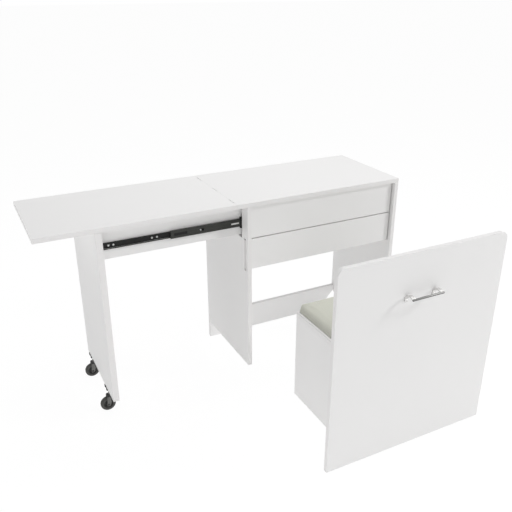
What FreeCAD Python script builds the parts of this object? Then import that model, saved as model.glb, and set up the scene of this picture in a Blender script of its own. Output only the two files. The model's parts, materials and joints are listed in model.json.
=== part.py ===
import FreeCAD, Part
import os
import re

# Folding desk with a roll-out leg frame, a fold-over leaf and a dock-in seat.
# Millimetres, +Z up. The leaf hinge line is x = 0, the floor is z = 0.

SIZES = {
    # tops
    "board": 16, "top_len": 706.5, "leaf_len": 692, "top_deep": 400, "top_high": 750, "seam_half": 0.3,
    # carcass
    "desk_y": 106.75, "overhang": 39, "side_foot": 75, "rail_high": 112,
    "recess": 16, "fascia_drop": 126, "fascia_gap": 3.5, "room_high": 132, "floor_thick": 12,
    "cable_wide": 97.5, "cable_high": 84.5, "groove_deep": 6,
    # slides
    "slide_drop": 72.5, "slide_half": 21, "slide_deep": 12.7, "slide_len": 490, "sheet_metal": 1.2,
    "outer_flange": 6.5, "middle_half": 14.2, "middle_flange": 2.6, "inner_half": 11.2, "inner_flange": 1.6,
    "travel": 501, "outer_short": 2.9, "middle_up": 1.6, "middle_short": 2.3, "inner_up": 4.2,
    "middle_back": 16.5, "middle_share": 0.51, "inner_back": 12, "inner_len": 470, "pan_head": 2.5,
    "pan_bite": 12,
    # extension frame
    "caster_room": 27, "leg_thick": 22, "leg_short": 12, "frame_gap": 0.5, "apron_up": 11, "apron_past": 83,
    "tie_drop": 44,
    # casters
    "wheel_rad": 28, "wheel_wide": 18, "hub_rad": 17, "trail": 15.5, "caster_in": 72, "caster_back": 7.5,
    "axle_rad": 3, "stem_rad": 5, "stem_up": 22, "stem_fit": 0.1, "cheek": 2.5, "cheek_gap": 1,
    "cheek_half": 7, "fork_past": 3, "fork_front": 11, "head_rad": 13, "head_high": 11, "collar_rad": 8,
    "collar_high": 5, "tyre_gap": 3, "cap_rad": 5, "cap_thick": 2, "hub_sink": 1.5,
    "strip_half": 66, "strip_thick": 2.5, "strip_in": 1, "bolt_near": 23, "bolt_far": 46, "bolt_rad": 2.5,
    "bolt_out": 6.5, "bolt_head_rad": 3.4, "bolt_head_high": 14.5, "bolt_bite": 16,
    # drawer
    "drawer_gap": 3.5, "drawer_high": 119.5, "front_gap": 2, "box_up": 15, "box_high": 80, "box_deep": 308,
    "box_board": 12, "box_side_gap": 13, "bottom_up": 3, "bottom_thick": 6, "runner_len": 300,
    "runner_half": 17.5, "runner_back": 2, "runner_deep": 10, "runner_thick": 3, "runner_gap": 0.3,
    "runner_in": 2.2, "runner_lip": 1.6,
    # leaf hinges
    "axis_up": 0.5, "knuckle_rad": 2.2, "pin_rad": 1, "plate_half": 20, "plate_thick": 1.3, "plate_up": 1.5,
    "plate_drop": 2, "hinge_end": 50, "hinge_gap": 0.3, "hinge_screw_rad": 1.5, "hinge_screw_len": 14,
    # seat
    "panel_wide": 655.5, "panel_gap": 4, "panel_round": 26, "chair_gap": 554, "seat_in": 123,
    "seat_deep": 403, "seat_top": 356, "cushion_high": 42, "cushion_crown": 6, "cushion_round": 13,
    "cushion_edge": 11, "cushion_foot": 4,
    # seat pull
    "pull_off": 17.6, "pull_half": 61, "pull_drop": 137, "pull_reach": 38.5, "bar_rad": 3.6,
    "arm_rad": 40, "arm_thick": 5, "arm_wide": 13, "foot_thick": 8, "foot_half": 6,
    # joining pieces
    "screw_rad": 2, "screw_fit": 0.05, "screw_bite": 11, "screw_skin": 3, "end_bite": 24,
    "dowel_rad": 4, "peg_rad": 3, "dowel_len": 30, "dowel_bite": 10,
    "angle_leg": 28, "angle_wide": 16, "angle_thick": 2,
}

WORD = re.compile(r"\b[a-z][a-z_0-9]*\b")
AXES = {
    "x": FreeCAD.Rotation(FreeCAD.Vector(0, 1, 0), 90),
    "y": FreeCAD.Rotation(FreeCAD.Vector(1, 0, 0), -90),
    "z": FreeCAD.Rotation(),
}

doc = FreeCAD.newDocument("FoldingDesk")
sheet = doc.addObject("Spreadsheet::Sheet", "Sizes")
for row, (alias, value) in enumerate(SIZES.items(), 1):
    sheet.set(f"A{row}", alias)
    sheet.set(f"B{row}", str(value))
    sheet.setAlias(f"B{row}", alias)
doc.recompute()

bases = {}
cuts = {}


def bind(thing, prop, expr):
    """Ties a property to sheet values; words in expr are sheet aliases."""
    thing.setExpression(prop, WORD.sub(lambda m: "Sizes." + m.group(0), str(expr)))


def place(thing, x, y, z):
    """Ties the position of a document object to sheet values."""
    bind(thing, "Placement.Base.x", x)
    bind(thing, "Placement.Base.y", y)
    bind(thing, "Placement.Base.z", z)


def span(low, high):
    """A length expression between two position expressions."""
    return f"({high}) - ({low})"


def box(name, x, y, z):
    """A box between pairs of position expressions along each axis."""
    thing = doc.addObject("Part::Box", name)
    bind(thing, "Length", span(*x))
    bind(thing, "Width", span(*y))
    bind(thing, "Height", span(*z))
    place(thing, x[0], y[0], z[0])
    return thing


def rod(name, axis, x, y, z, radius, length):
    """A cylinder that starts at x, y, z and runs along +axis."""
    thing = doc.addObject("Part::Cylinder", name)
    thing.Placement = FreeCAD.Placement(FreeCAD.Vector(), AXES[axis])
    bind(thing, "Radius", radius)
    bind(thing, "Height", length)
    place(thing, x, y, z)
    return thing


def fuse(name, parts):
    """One solid made of several."""
    thing = doc.addObject("Part::MultiFuse", name)
    thing.Shapes = parts
    thing.Refine = True
    return thing


def group(name, parts):
    """Separate solids that share one node."""
    thing = doc.addObject("Part::Compound", name)
    thing.Links = parts
    return thing


def node(name, thing):
    """Registers a finished shape, before its holes, as a node."""
    bases[name] = thing
    cuts[name] = []


def hole(name, thing):
    """Takes a tool away from a node when the nodes are finished."""
    cuts[name].append(thing)


loose = {}


def pegs(name, axis, spots, radius, length, through):
    """Adds equal pins or screws to a group, with fitting holes in the nodes they join."""
    parts = loose.setdefault(name, [])
    for x, y, z in spots:
        number = len(parts)
        parts.append(rod(f"{name}_{number}", axis, x, y, z, radius, length))
        for target in through:
            hole(target, rod(f"{name}_{target}_{number}", axis, x, y, z, f"{radius} + screw_fit", length))


# positions used often
underside = "top_high - board"
left_out = "overhang"
left_in = "overhang + board"
right_in = "top_len - board"
right_out = "top_len"
front = "desk_y"
back = "desk_y + top_deep"
back_face = "desk_y + top_deep - board"
slide_face = "desk_y + recess + 2 * board"
frame_top = "top_high - board - frame_gap"
floor_top = f"{underside} - room_high"
floor_low = f"{floor_top} - floor_thick"
fascia_low = f"{underside} - fascia_drop"
drawer_top = f"{fascia_low} - drawer_gap"
drawer_low = f"{drawer_top} - drawer_high"
box_low = f"{drawer_low} + box_up"
box_top = f"{box_low} + box_high"
runner_z = f"{box_low} + box_high / 2"
slide_z = f"{underside} - slide_drop"
apron_low = f"{floor_top} + apron_up"
tie_top = f"{underside} - tie_drop"
leg_foot = "2 * wheel_rad + caster_room"
leg_deep = "top_deep - leg_short"
plate_low = f"{underside} + plate_up"
panel_high = f"{underside} - panel_gap"
pull_x = "overhang + panel_wide / 2 - pull_off"
pull_z = f"{panel_high} - pull_drop"

# tops
node("main_top", box("main_top_board", ("seam_half", right_out), (front, back), (underside, "top_high")))
node("leaf_top", box("leaf_top_board", ("-leaf_len", "-seam_half"), (front, back), (underside, "top_high")))

# carcass boards
sides = (("left_side_panel", left_out, left_in), ("right_side_panel", right_in, right_out))
for name, low, high in sides:
    node(name, box(name + "_board", (low, high), (front, back), ("side_foot", underside)))
    rail_seat = box(name + "_rail_seat", (f"{low} - 1", f"{high} + 1"), (back_face, f"{back} + 1"),
                    ("side_foot - 1", "rail_high"))
    hole(name, rail_seat)

slot_x = (f"{left_out} - 1", f"{left_in} + 1")
hole("left_side_panel", box("front_slot", slot_x,
                            (f"{front} + recess", f"{slide_face} + slide_deep + board + 2"),
                            (floor_top, f"{underside} + 1")))
hole("left_side_panel", box("rear_slot", slot_x, (f"{back_face} - slide_deep - board - 2", back_face),
                            (floor_top, f"{underside} + 1")))
hole("left_side_panel", box("side_groove", (f"{left_out} - 1", f"{left_out} + groove_deep"),
                            (f"{front} + recess - 2", f"{front} + recess + board - 2"),
                            (f"{drawer_low} - 5", f"{drawer_top} - 6")))

node("back_rail_lower", box("back_rail_lower_board", (left_out, right_out), (back_face, back),
                            (0, "rail_high")))
cable = doc.addObject("Part::Wedge", "cable_notch")
for prop, expr in (("Xmin", 0), ("Xmax", "cable_wide"), ("Zmin", 0), ("Zmax", "board + 2"), ("Ymin", 0),
                   ("Ymax", "cable_high + 1"), ("X2min", "cable_wide * 0.8"), ("X2max", "cable_wide"),
                   ("Z2min", 0), ("Z2max", "board + 2")):
    bind(cable, prop, expr)
cable.Placement = FreeCAD.Placement(FreeCAD.Vector(), FreeCAD.Rotation(FreeCAD.Vector(1, 0, 0), 90))
place(cable, f"{right_out} - cable_wide + 1", f"{back} + 1", -1)
hole("back_rail_lower", cable)

node("back_rail_upper", box("back_rail_upper_board", (left_in, right_in), (back_face, back),
                            (drawer_low, underside)))
node("fascia", box("fascia_board", (left_out, f"{right_in} - fascia_gap"),
                   (f"{front} + recess", f"{front} + recess + board"),
                   (fascia_low, f"{underside} - front_gap")))
node("slide_support_rail", box("slide_support_board", (left_out, right_in),
                               (f"{front} + recess + board", slide_face), (floor_top, underside)))
node("compartment_floor", box("compartment_floor_board", (left_in, right_in),
                              (f"{front} + recess + board + 0.5", back_face), (floor_low, floor_top)))

# telescopic slides: datum face, direction away from it
slides = {"front": (slide_face, 1), "rear": (back_face, -1)}


def depth(name, low, high):
    """Depth range of a slide section measured from the face the slide is screwed to."""
    datum, way = slides[name]
    if way > 0:
        return f"{datum} + {low}", f"{datum} + {high}"
    return f"{datum} - ({high})", f"{datum} - ({low})"


def channel(name, side, x, web, flange, half, thick):
    """A rolled channel: a web and two flanges."""
    flat = box(name + "_web", x, depth(side, *web), (f"{slide_z} - {half}", f"{slide_z} + {half}"))
    upper = box(name + "_up", x, depth(side, *flange),
                (f"{slide_z} + {half} - {thick}", f"{slide_z} + {half}"))
    lower = box(name + "_down", x, depth(side, *flange),
                (f"{slide_z} - {half}", f"{slide_z} - {half} + {thick}"))
    node(name, fuse(name + "_section", [flat, upper, lower]))


middle_x = ("overhang - middle_back - travel * middle_share",
            "overhang - middle_back - travel * middle_share + slide_len")
inner_x = ("overhang - inner_back - travel", "overhang - inner_back - travel + inner_len")
for side in slides:
    channel(f"slide_outer_{side}", side, (left_out, f"{left_out} + slide_len"), ("0", "sheet_metal"),
            ("0", "slide_deep - outer_short"), "slide_half", "outer_flange")
    channel(f"slide_middle_{side}", side, middle_x, ("middle_up", "middle_up + sheet_metal"),
            ("middle_up", "slide_deep - middle_short"), "middle_half", "middle_flange")
    channel(f"slide_inner_{side}", side, inner_x, ("slide_deep - sheet_metal", "slide_deep"),
            ("inner_up", "slide_deep"), "inner_half", "inner_flange")
    middle = f"slide_middle_{side}"
    for number, (start, size, tall) in enumerate(((13, 48, 5), (108, 16, 4), (230, 32, 3), (380, 30, 5))):
        hole(middle, box(f"{middle}_slot_{number}",
                         (f"{middle_x[0]} + {start}", f"{middle_x[0]} + {start + size}"),
                         depth(side, 1, 4), (f"{slide_z} - {tall}", f"{slide_z} + {tall}")))

# extension frame
leg_out = "-travel"
leg_in = "leg_thick - travel"
node("leg_panel", box("leg_board", (leg_out, leg_in), (front, f"{front} + {leg_deep}"),
                      (leg_foot, frame_top)))
aprons = {"front": depth("front", "slide_deep", "slide_deep + board"),
          "rear": depth("rear", "slide_deep", "slide_deep + board")}
for side, y in aprons.items():
    node(f"apron_{side}", box(f"apron_{side}_board", (leg_in, "apron_past"), y, (apron_low, frame_top)))
node("apron_tie", box("apron_tie_board", ("apron_past - board", "apron_past"),
                      (aprons["front"][1], aprons["rear"][0]),
                      (apron_low, tie_top)))

# slide screws
outer_spots = [f"{left_out} + {at}" for at in (40, 210, 440)]
inner_spots = [f"{inner_x[0]} + {at}" for at in (25, 42, 176, 194, 354, 440)]
pegs("slide_screws", "y", [(x, f"{slide_face} - board + screw_skin", slide_z) for x in outer_spots],
     "screw_rad", "board - screw_skin + sheet_metal", ["slide_outer_front", "slide_support_rail"])
pegs("slide_screws", "y", [(x, f"{back_face} - sheet_metal", slide_z) for x in outer_spots],
     "screw_rad", "board - screw_skin + sheet_metal", ["slide_outer_rear", "back_rail_upper"])


def pan_screws(name, side, through):
    """Screws with round heads that hold an inner section to its apron."""
    parts = loose.setdefault(name, [])
    for x in inner_spots:
        number = len(parts)
        shank_y = depth(side, "slide_deep - sheet_metal", "slide_deep + pan_bite")[0]
        head_y = depth(side, "slide_deep - sheet_metal - pan_head", "slide_deep - sheet_metal")[0]
        shank = rod(f"{name}_shank_{number}", "y", x, shank_y, slide_z, "screw_rad", "pan_bite + sheet_metal")
        head = rod(f"{name}_head_{number}", "y", x, head_y, slide_z, "2 * screw_rad", "pan_head")
        parts.append(fuse(f"{name}_{number}", [shank, head]))
        for target in through:
            hole(target, rod(f"{name}_{target}_{number}", "y", x, shank_y, slide_z, "screw_rad + screw_fit",
                             "pan_bite + sheet_metal"))


for side in slides:
    pan_screws("frame_screws", side, [f"slide_inner_{side}", f"apron_{side}"])

# dowels
apron_mid = {side: f"(({y[0]}) + ({y[1]})) / 2" for side, y in aprons.items()}
pegs("frame_dowels", "x", [(f"{leg_in} - dowel_bite", apron_mid[side], f"{apron_low} + {up}")
                           for side in aprons for up in (25, 95)],
     "dowel_rad", "dowel_len", ["leg_panel", "apron_front", "apron_rear"])
tie_starts = (f"{aprons['front'][1]} - dowel_bite", f"{aprons['rear'][0]} - dowel_len + dowel_bite")
tie_spots = [("apron_past - board / 2", y, f"{apron_low} + {up}") for y in tie_starts for up in (20, 57)]
pegs("frame_dowels", "y", tie_spots, "dowel_rad", "dowel_len", ["apron_tie", "apron_front", "apron_rear"])
floor_spots = [(x, f"{front} + {y}", f"{floor_low} + floor_thick / 2")
               for x in (f"{left_in} - dowel_bite", f"{right_in} - dowel_len + dowel_bite")
               for y in (90, 210, 320)]
pegs("floor_dowels", "x", floor_spots, "peg_rad", "dowel_len",
     ["compartment_floor", "left_side_panel", "right_side_panel"])

# screws that join rails and panels
pegs("carcass_screws", "y", [(x, f"{back_face} - end_bite", "(side_foot + rail_high) / 2")
                          for x in (f"{left_out} + board / 2", f"{right_in} + board / 2")],
     "screw_rad", "end_bite + board - screw_skin", ["left_side_panel", "right_side_panel", "back_rail_lower"])
fascia_spots = [(x, f"{front} + recess + screw_skin", f"{fascia_low} + {up}")
                for x in ("overhang + 90", "top_len / 2", "top_len - 90") for up in (14, 104)]
pegs("carcass_screws", "y", fascia_spots, "screw_rad", "2 * board - 2 * screw_skin",
     ["fascia", "slide_support_rail"])


def angle(name, x, y, z, flat, upright):
    """A steel angle bracket made of two plates; x, y and z are where its corner is."""
    plates = []
    for part, ranges in (("_flat", flat), ("_up", upright)):
        sides = [(f"{at} + {low}", f"{at} + {high}") for at, (low, high) in zip((x, y, z), ranges)]
        plates.append(box(name + part, *sides))
    return fuse(name, plates)


def near(sign, length):
    """Range of a plate that runs from the corner, forwards or backwards."""
    return (0, length) if sign > 0 else (f"-({length})", 0)


brackets = []
flat_screws = []
upright_screws = []
for corner, (x, sign) in enumerate(((left_in, 1), (right_in, -1))):
    for number, y in enumerate((f"{front} + 140", f"{front} + 270")):
        across = near(sign, "angle_leg")
        brackets.append(angle(f"top_angle_{corner}_{number}", x, y, underside,
                              (across, (0, "angle_wide"), ("-angle_thick", 0)),
                              (near(sign, "angle_thick"), (0, "angle_wide"), ("-angle_leg", 0))))
        flat_screws.append((f"{x} + {sign} * angle_leg * 0.65", f"{y} + angle_wide / 2",
                            f"{underside} - angle_thick"))
        start = f"{x} - screw_bite" if sign > 0 else f"{x} - angle_thick"
        upright_screws.append((start, f"{y} + angle_wide / 2", f"{underside} - angle_leg * 0.65"))
node("top_angles", group("top_angle_set", brackets))
pegs("angle_screws", "z", flat_screws, "screw_rad", "screw_bite + angle_thick", ["top_angles", "main_top"])
pegs("angle_screws", "x", upright_screws, "screw_rad", "screw_bite + angle_thick",
     ["top_angles", "left_side_panel", "right_side_panel"])

# leaf hinges
axis_z = "top_high + axis_up"
centres = (f"{front} + hinge_end", f"{front} + top_deep / 2", f"{front} + top_deep - hinge_end")
halves = {"main": (("seam_half / 2", "seam_half / 2 + plate_thick"), ((-1, -0.35), (0.35, 1))),
          "leaf": (("-seam_half / 2 - plate_thick", "-seam_half / 2"), ((-0.335, 0.335),))}
for owner, (x, knuckles) in halves.items():
    plates = []
    for number, y in enumerate(centres):
        tag = f"hinge_{owner}_{number}"
        parts = [box(tag + "_plate", x, (f"{y} - plate_half", f"{y} + plate_half"),
                     (plate_low, "top_high - plate_drop"))]
        for part, (low, high) in enumerate(knuckles):
            y_range = (f"{y} + plate_half * {low}", f"{y} + plate_half * {high}")
            parts.append(box(f"{tag}_arm_{part}", x, y_range, ("top_high - plate_drop", axis_z)))
            parts.append(rod(f"{tag}_knuckle_{part}", "y", 0, y_range[0], axis_z, "knuckle_rad",
                             span(*y_range)))
        body = fuse(tag + "_body", parts)
        bored = doc.addObject("Part::Cut", tag)
        bored.Base = body
        bored.Tool = rod(tag + "_bore", "y", 0, f"{y} - plate_half - 1", axis_z, "pin_rad + screw_fit",
                         "2 * plate_half + 2")
        plates.append(bored)
        top = owner + "_top"
        inner = "seam_half - 1" if owner == "main" else "-seam_half - plate_thick - 0.1"
        outer = "seam_half + plate_thick + 0.1" if owner == "main" else "1 - seam_half"
        length = ("-plate_half - hinge_gap", "plate_half + hinge_gap")
        hole(top, box(tag + "_bed", (inner, outer), (f"{y} + ({length[0]})", f"{y} + {length[1]}"),
                      (f"{plate_low} - hinge_gap", "top_high + 1")))
        hole(top, rod(tag + "_clear", "y", 0, f"{y} + ({length[0]})", axis_z,
                      "knuckle_rad + hinge_gap + 0.1", span(*length)))
    node(f"hinge_plates_{owner}", group(f"hinge_{owner}_set", plates))
node("hinge_pins", group("hinge_pin_set", [
    rod(f"hinge_pin_{number}", "y", 0, f"{y} - plate_half + 0.5", axis_z, "pin_rad", "2 * plate_half - 1")
    for number, y in enumerate(centres)]))
screw_y = [f"{y} + {sign} * plate_half * 0.65" for y in centres for sign in (-1, 1)]
pegs("hinge_screws_main", "x", [("seam_half / 2", y, f"{plate_low} + 5") for y in screw_y],
     "hinge_screw_rad", "hinge_screw_len", ["main_top", "hinge_plates_main"])
pegs("hinge_screws_leaf", "x", [("-seam_half / 2 - hinge_screw_len", y, f"{plate_low} + 5") for y in screw_y],
     "hinge_screw_rad", "hinge_screw_len", ["leaf_top", "hinge_plates_leaf"])

# casters
caster_y = {"front": f"{front} + caster_back + caster_in",
            "rear": f"{front} + caster_back + {leg_deep} - caster_in"}
caster_x = "leg_thick / 2 - travel"
wheel_x = "leg_thick / 2 - travel - trail"
strip_low = f"{leg_foot} - strip_thick"
strips = []
for side, y in caster_y.items():
    tag = f"caster_{side}"
    stem = rod(tag + "_stem", "z", caster_x, y, f"{strip_low} - 4", "stem_rad", "stem_up + strip_thick + 4")
    head_low = f"{strip_low} - collar_high - head_high"
    collar = rod(tag + "_collar", "z", caster_x, y, f"{strip_low} - collar_high", "collar_rad",
                 "collar_high - 0.3")
    head = rod(tag + "_head", "z", caster_x, y, head_low, "head_rad", "head_high")
    crown = box(tag + "_crown", (f"{wheel_x} - fork_past", f"{caster_x} + fork_front"),
                (f"{y} - wheel_wide / 2 - cheek_gap - cheek", f"{y} + wheel_wide / 2 + cheek_gap + cheek"),
                ("2 * wheel_rad + tyre_gap", head_low))
    parts = [stem, collar, head, crown]
    for number, sign in enumerate((-1, 1)):
        inner = f"{y} + {sign} * (wheel_wide / 2 + cheek_gap)"
        outer = f"{y} + {sign} * (wheel_wide / 2 + cheek_gap + cheek)"
        y_range = (outer, inner) if sign < 0 else (inner, outer)
        plate = doc.addObject("Part::Wedge", f"{tag}_cheek_{number}")
        for prop, expr in (("Xmin", f"{wheel_x} - cheek_half"), ("Xmax", f"{wheel_x} + cheek_half"),
                           ("Ymin", "wheel_rad - cheek_half"), ("Ymax", "2 * wheel_rad + tyre_gap + 1"),
                           ("Zmin", 0), ("Zmax", "cheek"),
                           ("X2min", f"{wheel_x} - fork_past"), ("X2max", f"{caster_x} + fork_front"),
                           ("Z2min", 0), ("Z2max", "cheek")):
            bind(plate, prop, expr)
        plate.Placement = FreeCAD.Placement(FreeCAD.Vector(), FreeCAD.Rotation(FreeCAD.Vector(1, 0, 0), 90))
        place(plate, 0, y_range[1], 0)
        parts.append(plate)
    node(tag + "_fork", fuse(tag + "_fork_body", parts))
    hole("leg_panel", rod(tag + "_socket", "z", caster_x, y, f"{leg_foot} - 1", "stem_rad + stem_fit",
                          "stem_up + 1.5"))
    strip = doc.addObject("Part::Cut", tag + "_strip")
    strip.Base = box(tag + "_strip_bar", (f"{leg_out} + strip_in", f"{leg_in} - strip_in"),
                     (f"{y} - strip_half", f"{y} + strip_half"), (strip_low, leg_foot))
    strip.Tool = rod(tag + "_strip_bore", "z", caster_x, y, f"{strip_low} - 1", "stem_rad + stem_fit",
                     "strip_thick + 2")
    strips.append(strip)
    axle_y = f"{y} - wheel_wide / 2 - 2 * cheek_gap - cheek"
    axle_len = "wheel_wide + 4 * cheek_gap + 2 * cheek"
    shaft = rod(tag + "_shaft", "y", wheel_x, axle_y, "wheel_rad", "axle_rad", axle_len)
    caps = [rod(f"{tag}_cap_{number}", "y", wheel_x, f"{axle_y} + {shift}", "wheel_rad", "cap_rad",
                "cap_thick")
            for number, shift in enumerate(("-cap_thick / 2", f"{axle_len} - cap_thick / 2"))]
    node(tag + "_axle", fuse(tag + "_axle_body", [shaft] + caps))
    hole(tag + "_fork", rod(tag + "_axle_hole", "y", wheel_x, axle_y, "wheel_rad", "axle_rad + screw_fit",
                            axle_len))
    tyre = doc.addObject("Part::Cut", tag + "_tyre_ring")
    tyre.Base = rod(tag + "_tyre_outer", "y", wheel_x, f"{y} - wheel_wide / 2", "wheel_rad", "wheel_rad",
                    "wheel_wide")
    tyre.Tool = rod(tag + "_tyre_bore", "y", wheel_x, f"{y} - wheel_wide / 2 - 1", "wheel_rad", "hub_rad",
                    "wheel_wide + 2")
    node(tag + "_tyre", tyre)
    hub = doc.addObject("Part::Cut", tag + "_hub_ring")
    hub.Base = rod(tag + "_hub_outer", "y", wheel_x, f"{y} - wheel_wide / 2 + hub_sink", "wheel_rad",
                   "hub_rad", "wheel_wide - 2 * hub_sink")
    hub.Tool = rod(tag + "_hub_bore", "y", wheel_x, f"{y} - wheel_wide / 2", "wheel_rad",
                   "axle_rad + stem_fit", "wheel_wide")
    node(tag + "_hub", hub)
node("caster_strips", group("caster_strip_set", strips))

# hexagon bolts that hold the caster strips under the leg
bolts = loose.setdefault("frame_screws", [])
for side, y in caster_y.items():
    for shift in ("- bolt_far", "- bolt_near", "+ bolt_near", "+ bolt_far"):
        tag = f"caster_bolt_{len(bolts)}"
        head = doc.addObject("Part::Prism", tag + "_head")
        head.Polygon = 6
        bind(head, "Circumradius", "bolt_head_rad")
        bind(head, "Height", "bolt_head_high")
        place(head, f"{caster_x} - bolt_out", f"{y} {shift}", f"{strip_low} - bolt_head_high")
        shank = (f"{caster_x} - bolt_out", f"{y} {shift}", strip_low)
        length = "strip_thick + bolt_bite"
        bolts.append(fuse(tag, [head, rod(tag + "_shank", "z", *shank, "bolt_rad", length)]))
        for target in ("leg_panel", "caster_strips"):
            hole(target, rod(f"{tag}_{target}", "z", *shank, "bolt_rad + screw_fit", length))

# drawer
drawer_back = f"{front} + recess + board + box_deep"
drawer_face = f"{front} + recess + board"
node("drawer_front", box("drawer_front_board", (f"{left_in} + front_gap", f"{right_in} - fascia_gap"),
                         (f"{front} + recess", drawer_face), (drawer_low, drawer_top)))
box_left = f"{left_in} + box_side_gap"
box_right = f"{right_in} - box_side_gap"
node("drawer_side_left", box("drawer_side_left_board", (box_left, f"{box_left} + box_board"),
                             (drawer_face, drawer_back), (box_low, box_top)))
node("drawer_side_right", box("drawer_side_right_board", (f"{box_right} - box_board", box_right),
                              (drawer_face, drawer_back), (box_low, box_top)))
inside = (f"{box_left} + box_board", f"{box_right} - box_board")
node("drawer_back", box("drawer_back_board", inside, (f"{drawer_back} - box_board", drawer_back),
                        (box_low, box_top)))
node("drawer_bottom", box("drawer_bottom_board", inside, (drawer_face, f"{drawer_back} - box_board"),
                          (f"{box_low} + bottom_up", f"{box_low} + bottom_up + bottom_thick")))
fixed = []
moving = []
runner_y = (f"{drawer_face} + runner_back", f"{drawer_face} + runner_back + runner_len")
for number, (wall, sign) in enumerate(((left_in, 1), (right_in, -1))):
    for kind, web, flange, half, thick in (("fixed", (0, "sheet_metal"), (0, "runner_deep"), "runner_half",
                                            "runner_thick"),
                                           ("moving", ("box_side_gap - sheet_metal", "box_side_gap"),
                                            ("runner_in", "box_side_gap"),
                                            "(runner_half - runner_thick - runner_gap)", "runner_lip")):
        ranges = []
        for low, high in (web, flange):
            ranges.append((f"{wall} + {low}", f"{wall} + {high}") if sign > 0 else
                          (f"{wall} - ({high})", f"{wall} - ({low})"))
        tag = f"runner_{kind}_{number}"
        section = fuse(tag, [
            box(tag + "_web", ranges[0], runner_y, (f"{runner_z} - {half}", f"{runner_z} + {half}")),
            box(tag + "_up", ranges[1], runner_y, (f"{runner_z} + {half} - {thick}", f"{runner_z} + {half}")),
            box(tag + "_down", ranges[1], runner_y,
                (f"{runner_z} - {half}", f"{runner_z} - {half} + {thick}"))])
        (fixed if kind == "fixed" else moving).append(section)
node("drawer_runners_fixed", group("runner_fixed_set", fixed))
node("drawer_runners_moving", group("runner_moving_set", moving))
runner_spots = [f"{runner_y[0]} + {at}" for at in (35, 150, 260)]
pegs("runner_screws", "x", [(x, y, runner_z) for x in (f"{left_in} - screw_bite", f"{right_in} - sheet_metal")
                            for y in runner_spots],
     "screw_rad", "screw_bite + sheet_metal", ["drawer_runners_fixed", "left_side_panel", "right_side_panel"])
pegs("drawer_screws", "y", [(x, f"{front} + recess + screw_skin", f"{box_low} + {up}")
                            for x in (f"{box_left} + box_board / 2", f"{box_right} - box_board / 2")
                            for up in (15, 65)],
     "screw_rad", "board - screw_skin + end_bite", ["drawer_front", "drawer_side_left", "drawer_side_right"])

# seat
panel_in = f"{front} - chair_gap"
panel_out = f"{front} - chair_gap - board"
seat_far = f"{front} - chair_gap + seat_deep"
panel_right = "overhang + panel_wide"
node("chair_back_panel", box("chair_panel_board", (left_out, panel_right), (panel_out, panel_in),
                             (0, panel_high)))
seat_left = "overhang + seat_in"
seat_right = f"{panel_right} - seat_in"
for name, low, high in (("seat_side_left", seat_left, f"{seat_left} + board"),
                        ("seat_side_right", f"{seat_right} - board", seat_right)):
    node(name, box(name + "_board", (low, high), (panel_in, seat_far), (0, "seat_top - board")))
node("seat_far_board", box("seat_far_panel", (f"{seat_left} + board", f"{seat_right} - board"),
                           (f"{seat_far} - board", seat_far), (0, "seat_top - board")))
node("seat_board", box("seat_board_panel", (seat_left, seat_right), (panel_in, seat_far),
                       ("seat_top - board", "seat_top")))
seat_dowels = [(x, y, "seat_top - board - dowel_len + dowel_bite")
               for x in (f"{seat_left} + board / 2", f"{seat_right} - board / 2")
               for y in (f"{panel_in} + 60", f"{panel_in} + 210", f"{panel_in} + 345")]
pegs("seat_dowels", "z", seat_dowels, "dowel_rad", "dowel_len",
     ["seat_board", "seat_side_left", "seat_side_right"])
far_dowels = [(x, f"{seat_far} - board / 2", z) for z in (60, 180, 290)
              for x in (f"{seat_left} + board - dowel_bite",
                        f"{seat_right} - board - dowel_len + dowel_bite")]
pegs("seat_dowels", "x", far_dowels, "dowel_rad", "dowel_len",
     ["seat_far_board", "seat_side_left", "seat_side_right"])
seat_brackets = []
panel_screws = []
wall_screws = []
for corner, (x, sign) in enumerate(((f"{seat_left} + board", 1), (f"{seat_right} - board", -1))):
    for number, z in enumerate((70, 260)):
        seat_brackets.append(angle(f"seat_angle_{corner}_{number}", x, panel_in, str(z),
                                   (near(sign, "angle_leg"), (0, "angle_thick"), (0, "angle_wide")),
                                   (near(sign, "angle_thick"), (0, "angle_leg"), (0, "angle_wide"))))
        panel_screws.append((f"{x} + {sign} * angle_leg * 0.65", f"{panel_in} - screw_bite",
                             f"{z} + angle_wide / 2"))
        start = f"{x} - screw_bite" if sign > 0 else f"{x} - angle_thick"
        wall_screws.append((start, f"{panel_in} + angle_leg * 0.65", f"{z} + angle_wide / 2"))
node("seat_angles", group("seat_angle_set", seat_brackets))
pegs("seat_angle_screws", "y", panel_screws, "screw_rad", "screw_bite + angle_thick",
     ["seat_angles", "chair_back_panel"])
pegs("seat_angle_screws", "x", wall_screws, "screw_rad", "screw_bite + angle_thick",
     ["seat_angles", "seat_side_left", "seat_side_right"])

# cushion: crowned top, rounded corners, sides drawn in at the foot
pad = box("cushion_block", (f"{seat_left} + 1", f"{seat_right} - 1"), (f"{panel_in} + 2", f"{seat_far} - 1"),
          ("seat_top", "seat_top + cushion_high"))
ball = doc.addObject("Part::Sphere", "cushion_crown_ball")
crown_rad = "(panel_wide / 2 - seat_in) ^ 2 / (2 * cushion_crown)"
ball.Placement = FreeCAD.Placement(FreeCAD.Vector(), AXES["x"])
bind(ball, "Radius", crown_rad)
place(ball, "overhang + panel_wide / 2", f"{panel_in} + seat_deep / 2",
      f"seat_top + cushion_high - {crown_rad}")
dome = doc.addObject("Part::Common", "cushion_dome")
dome.Base = pad
dome.Tool = ball

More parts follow.
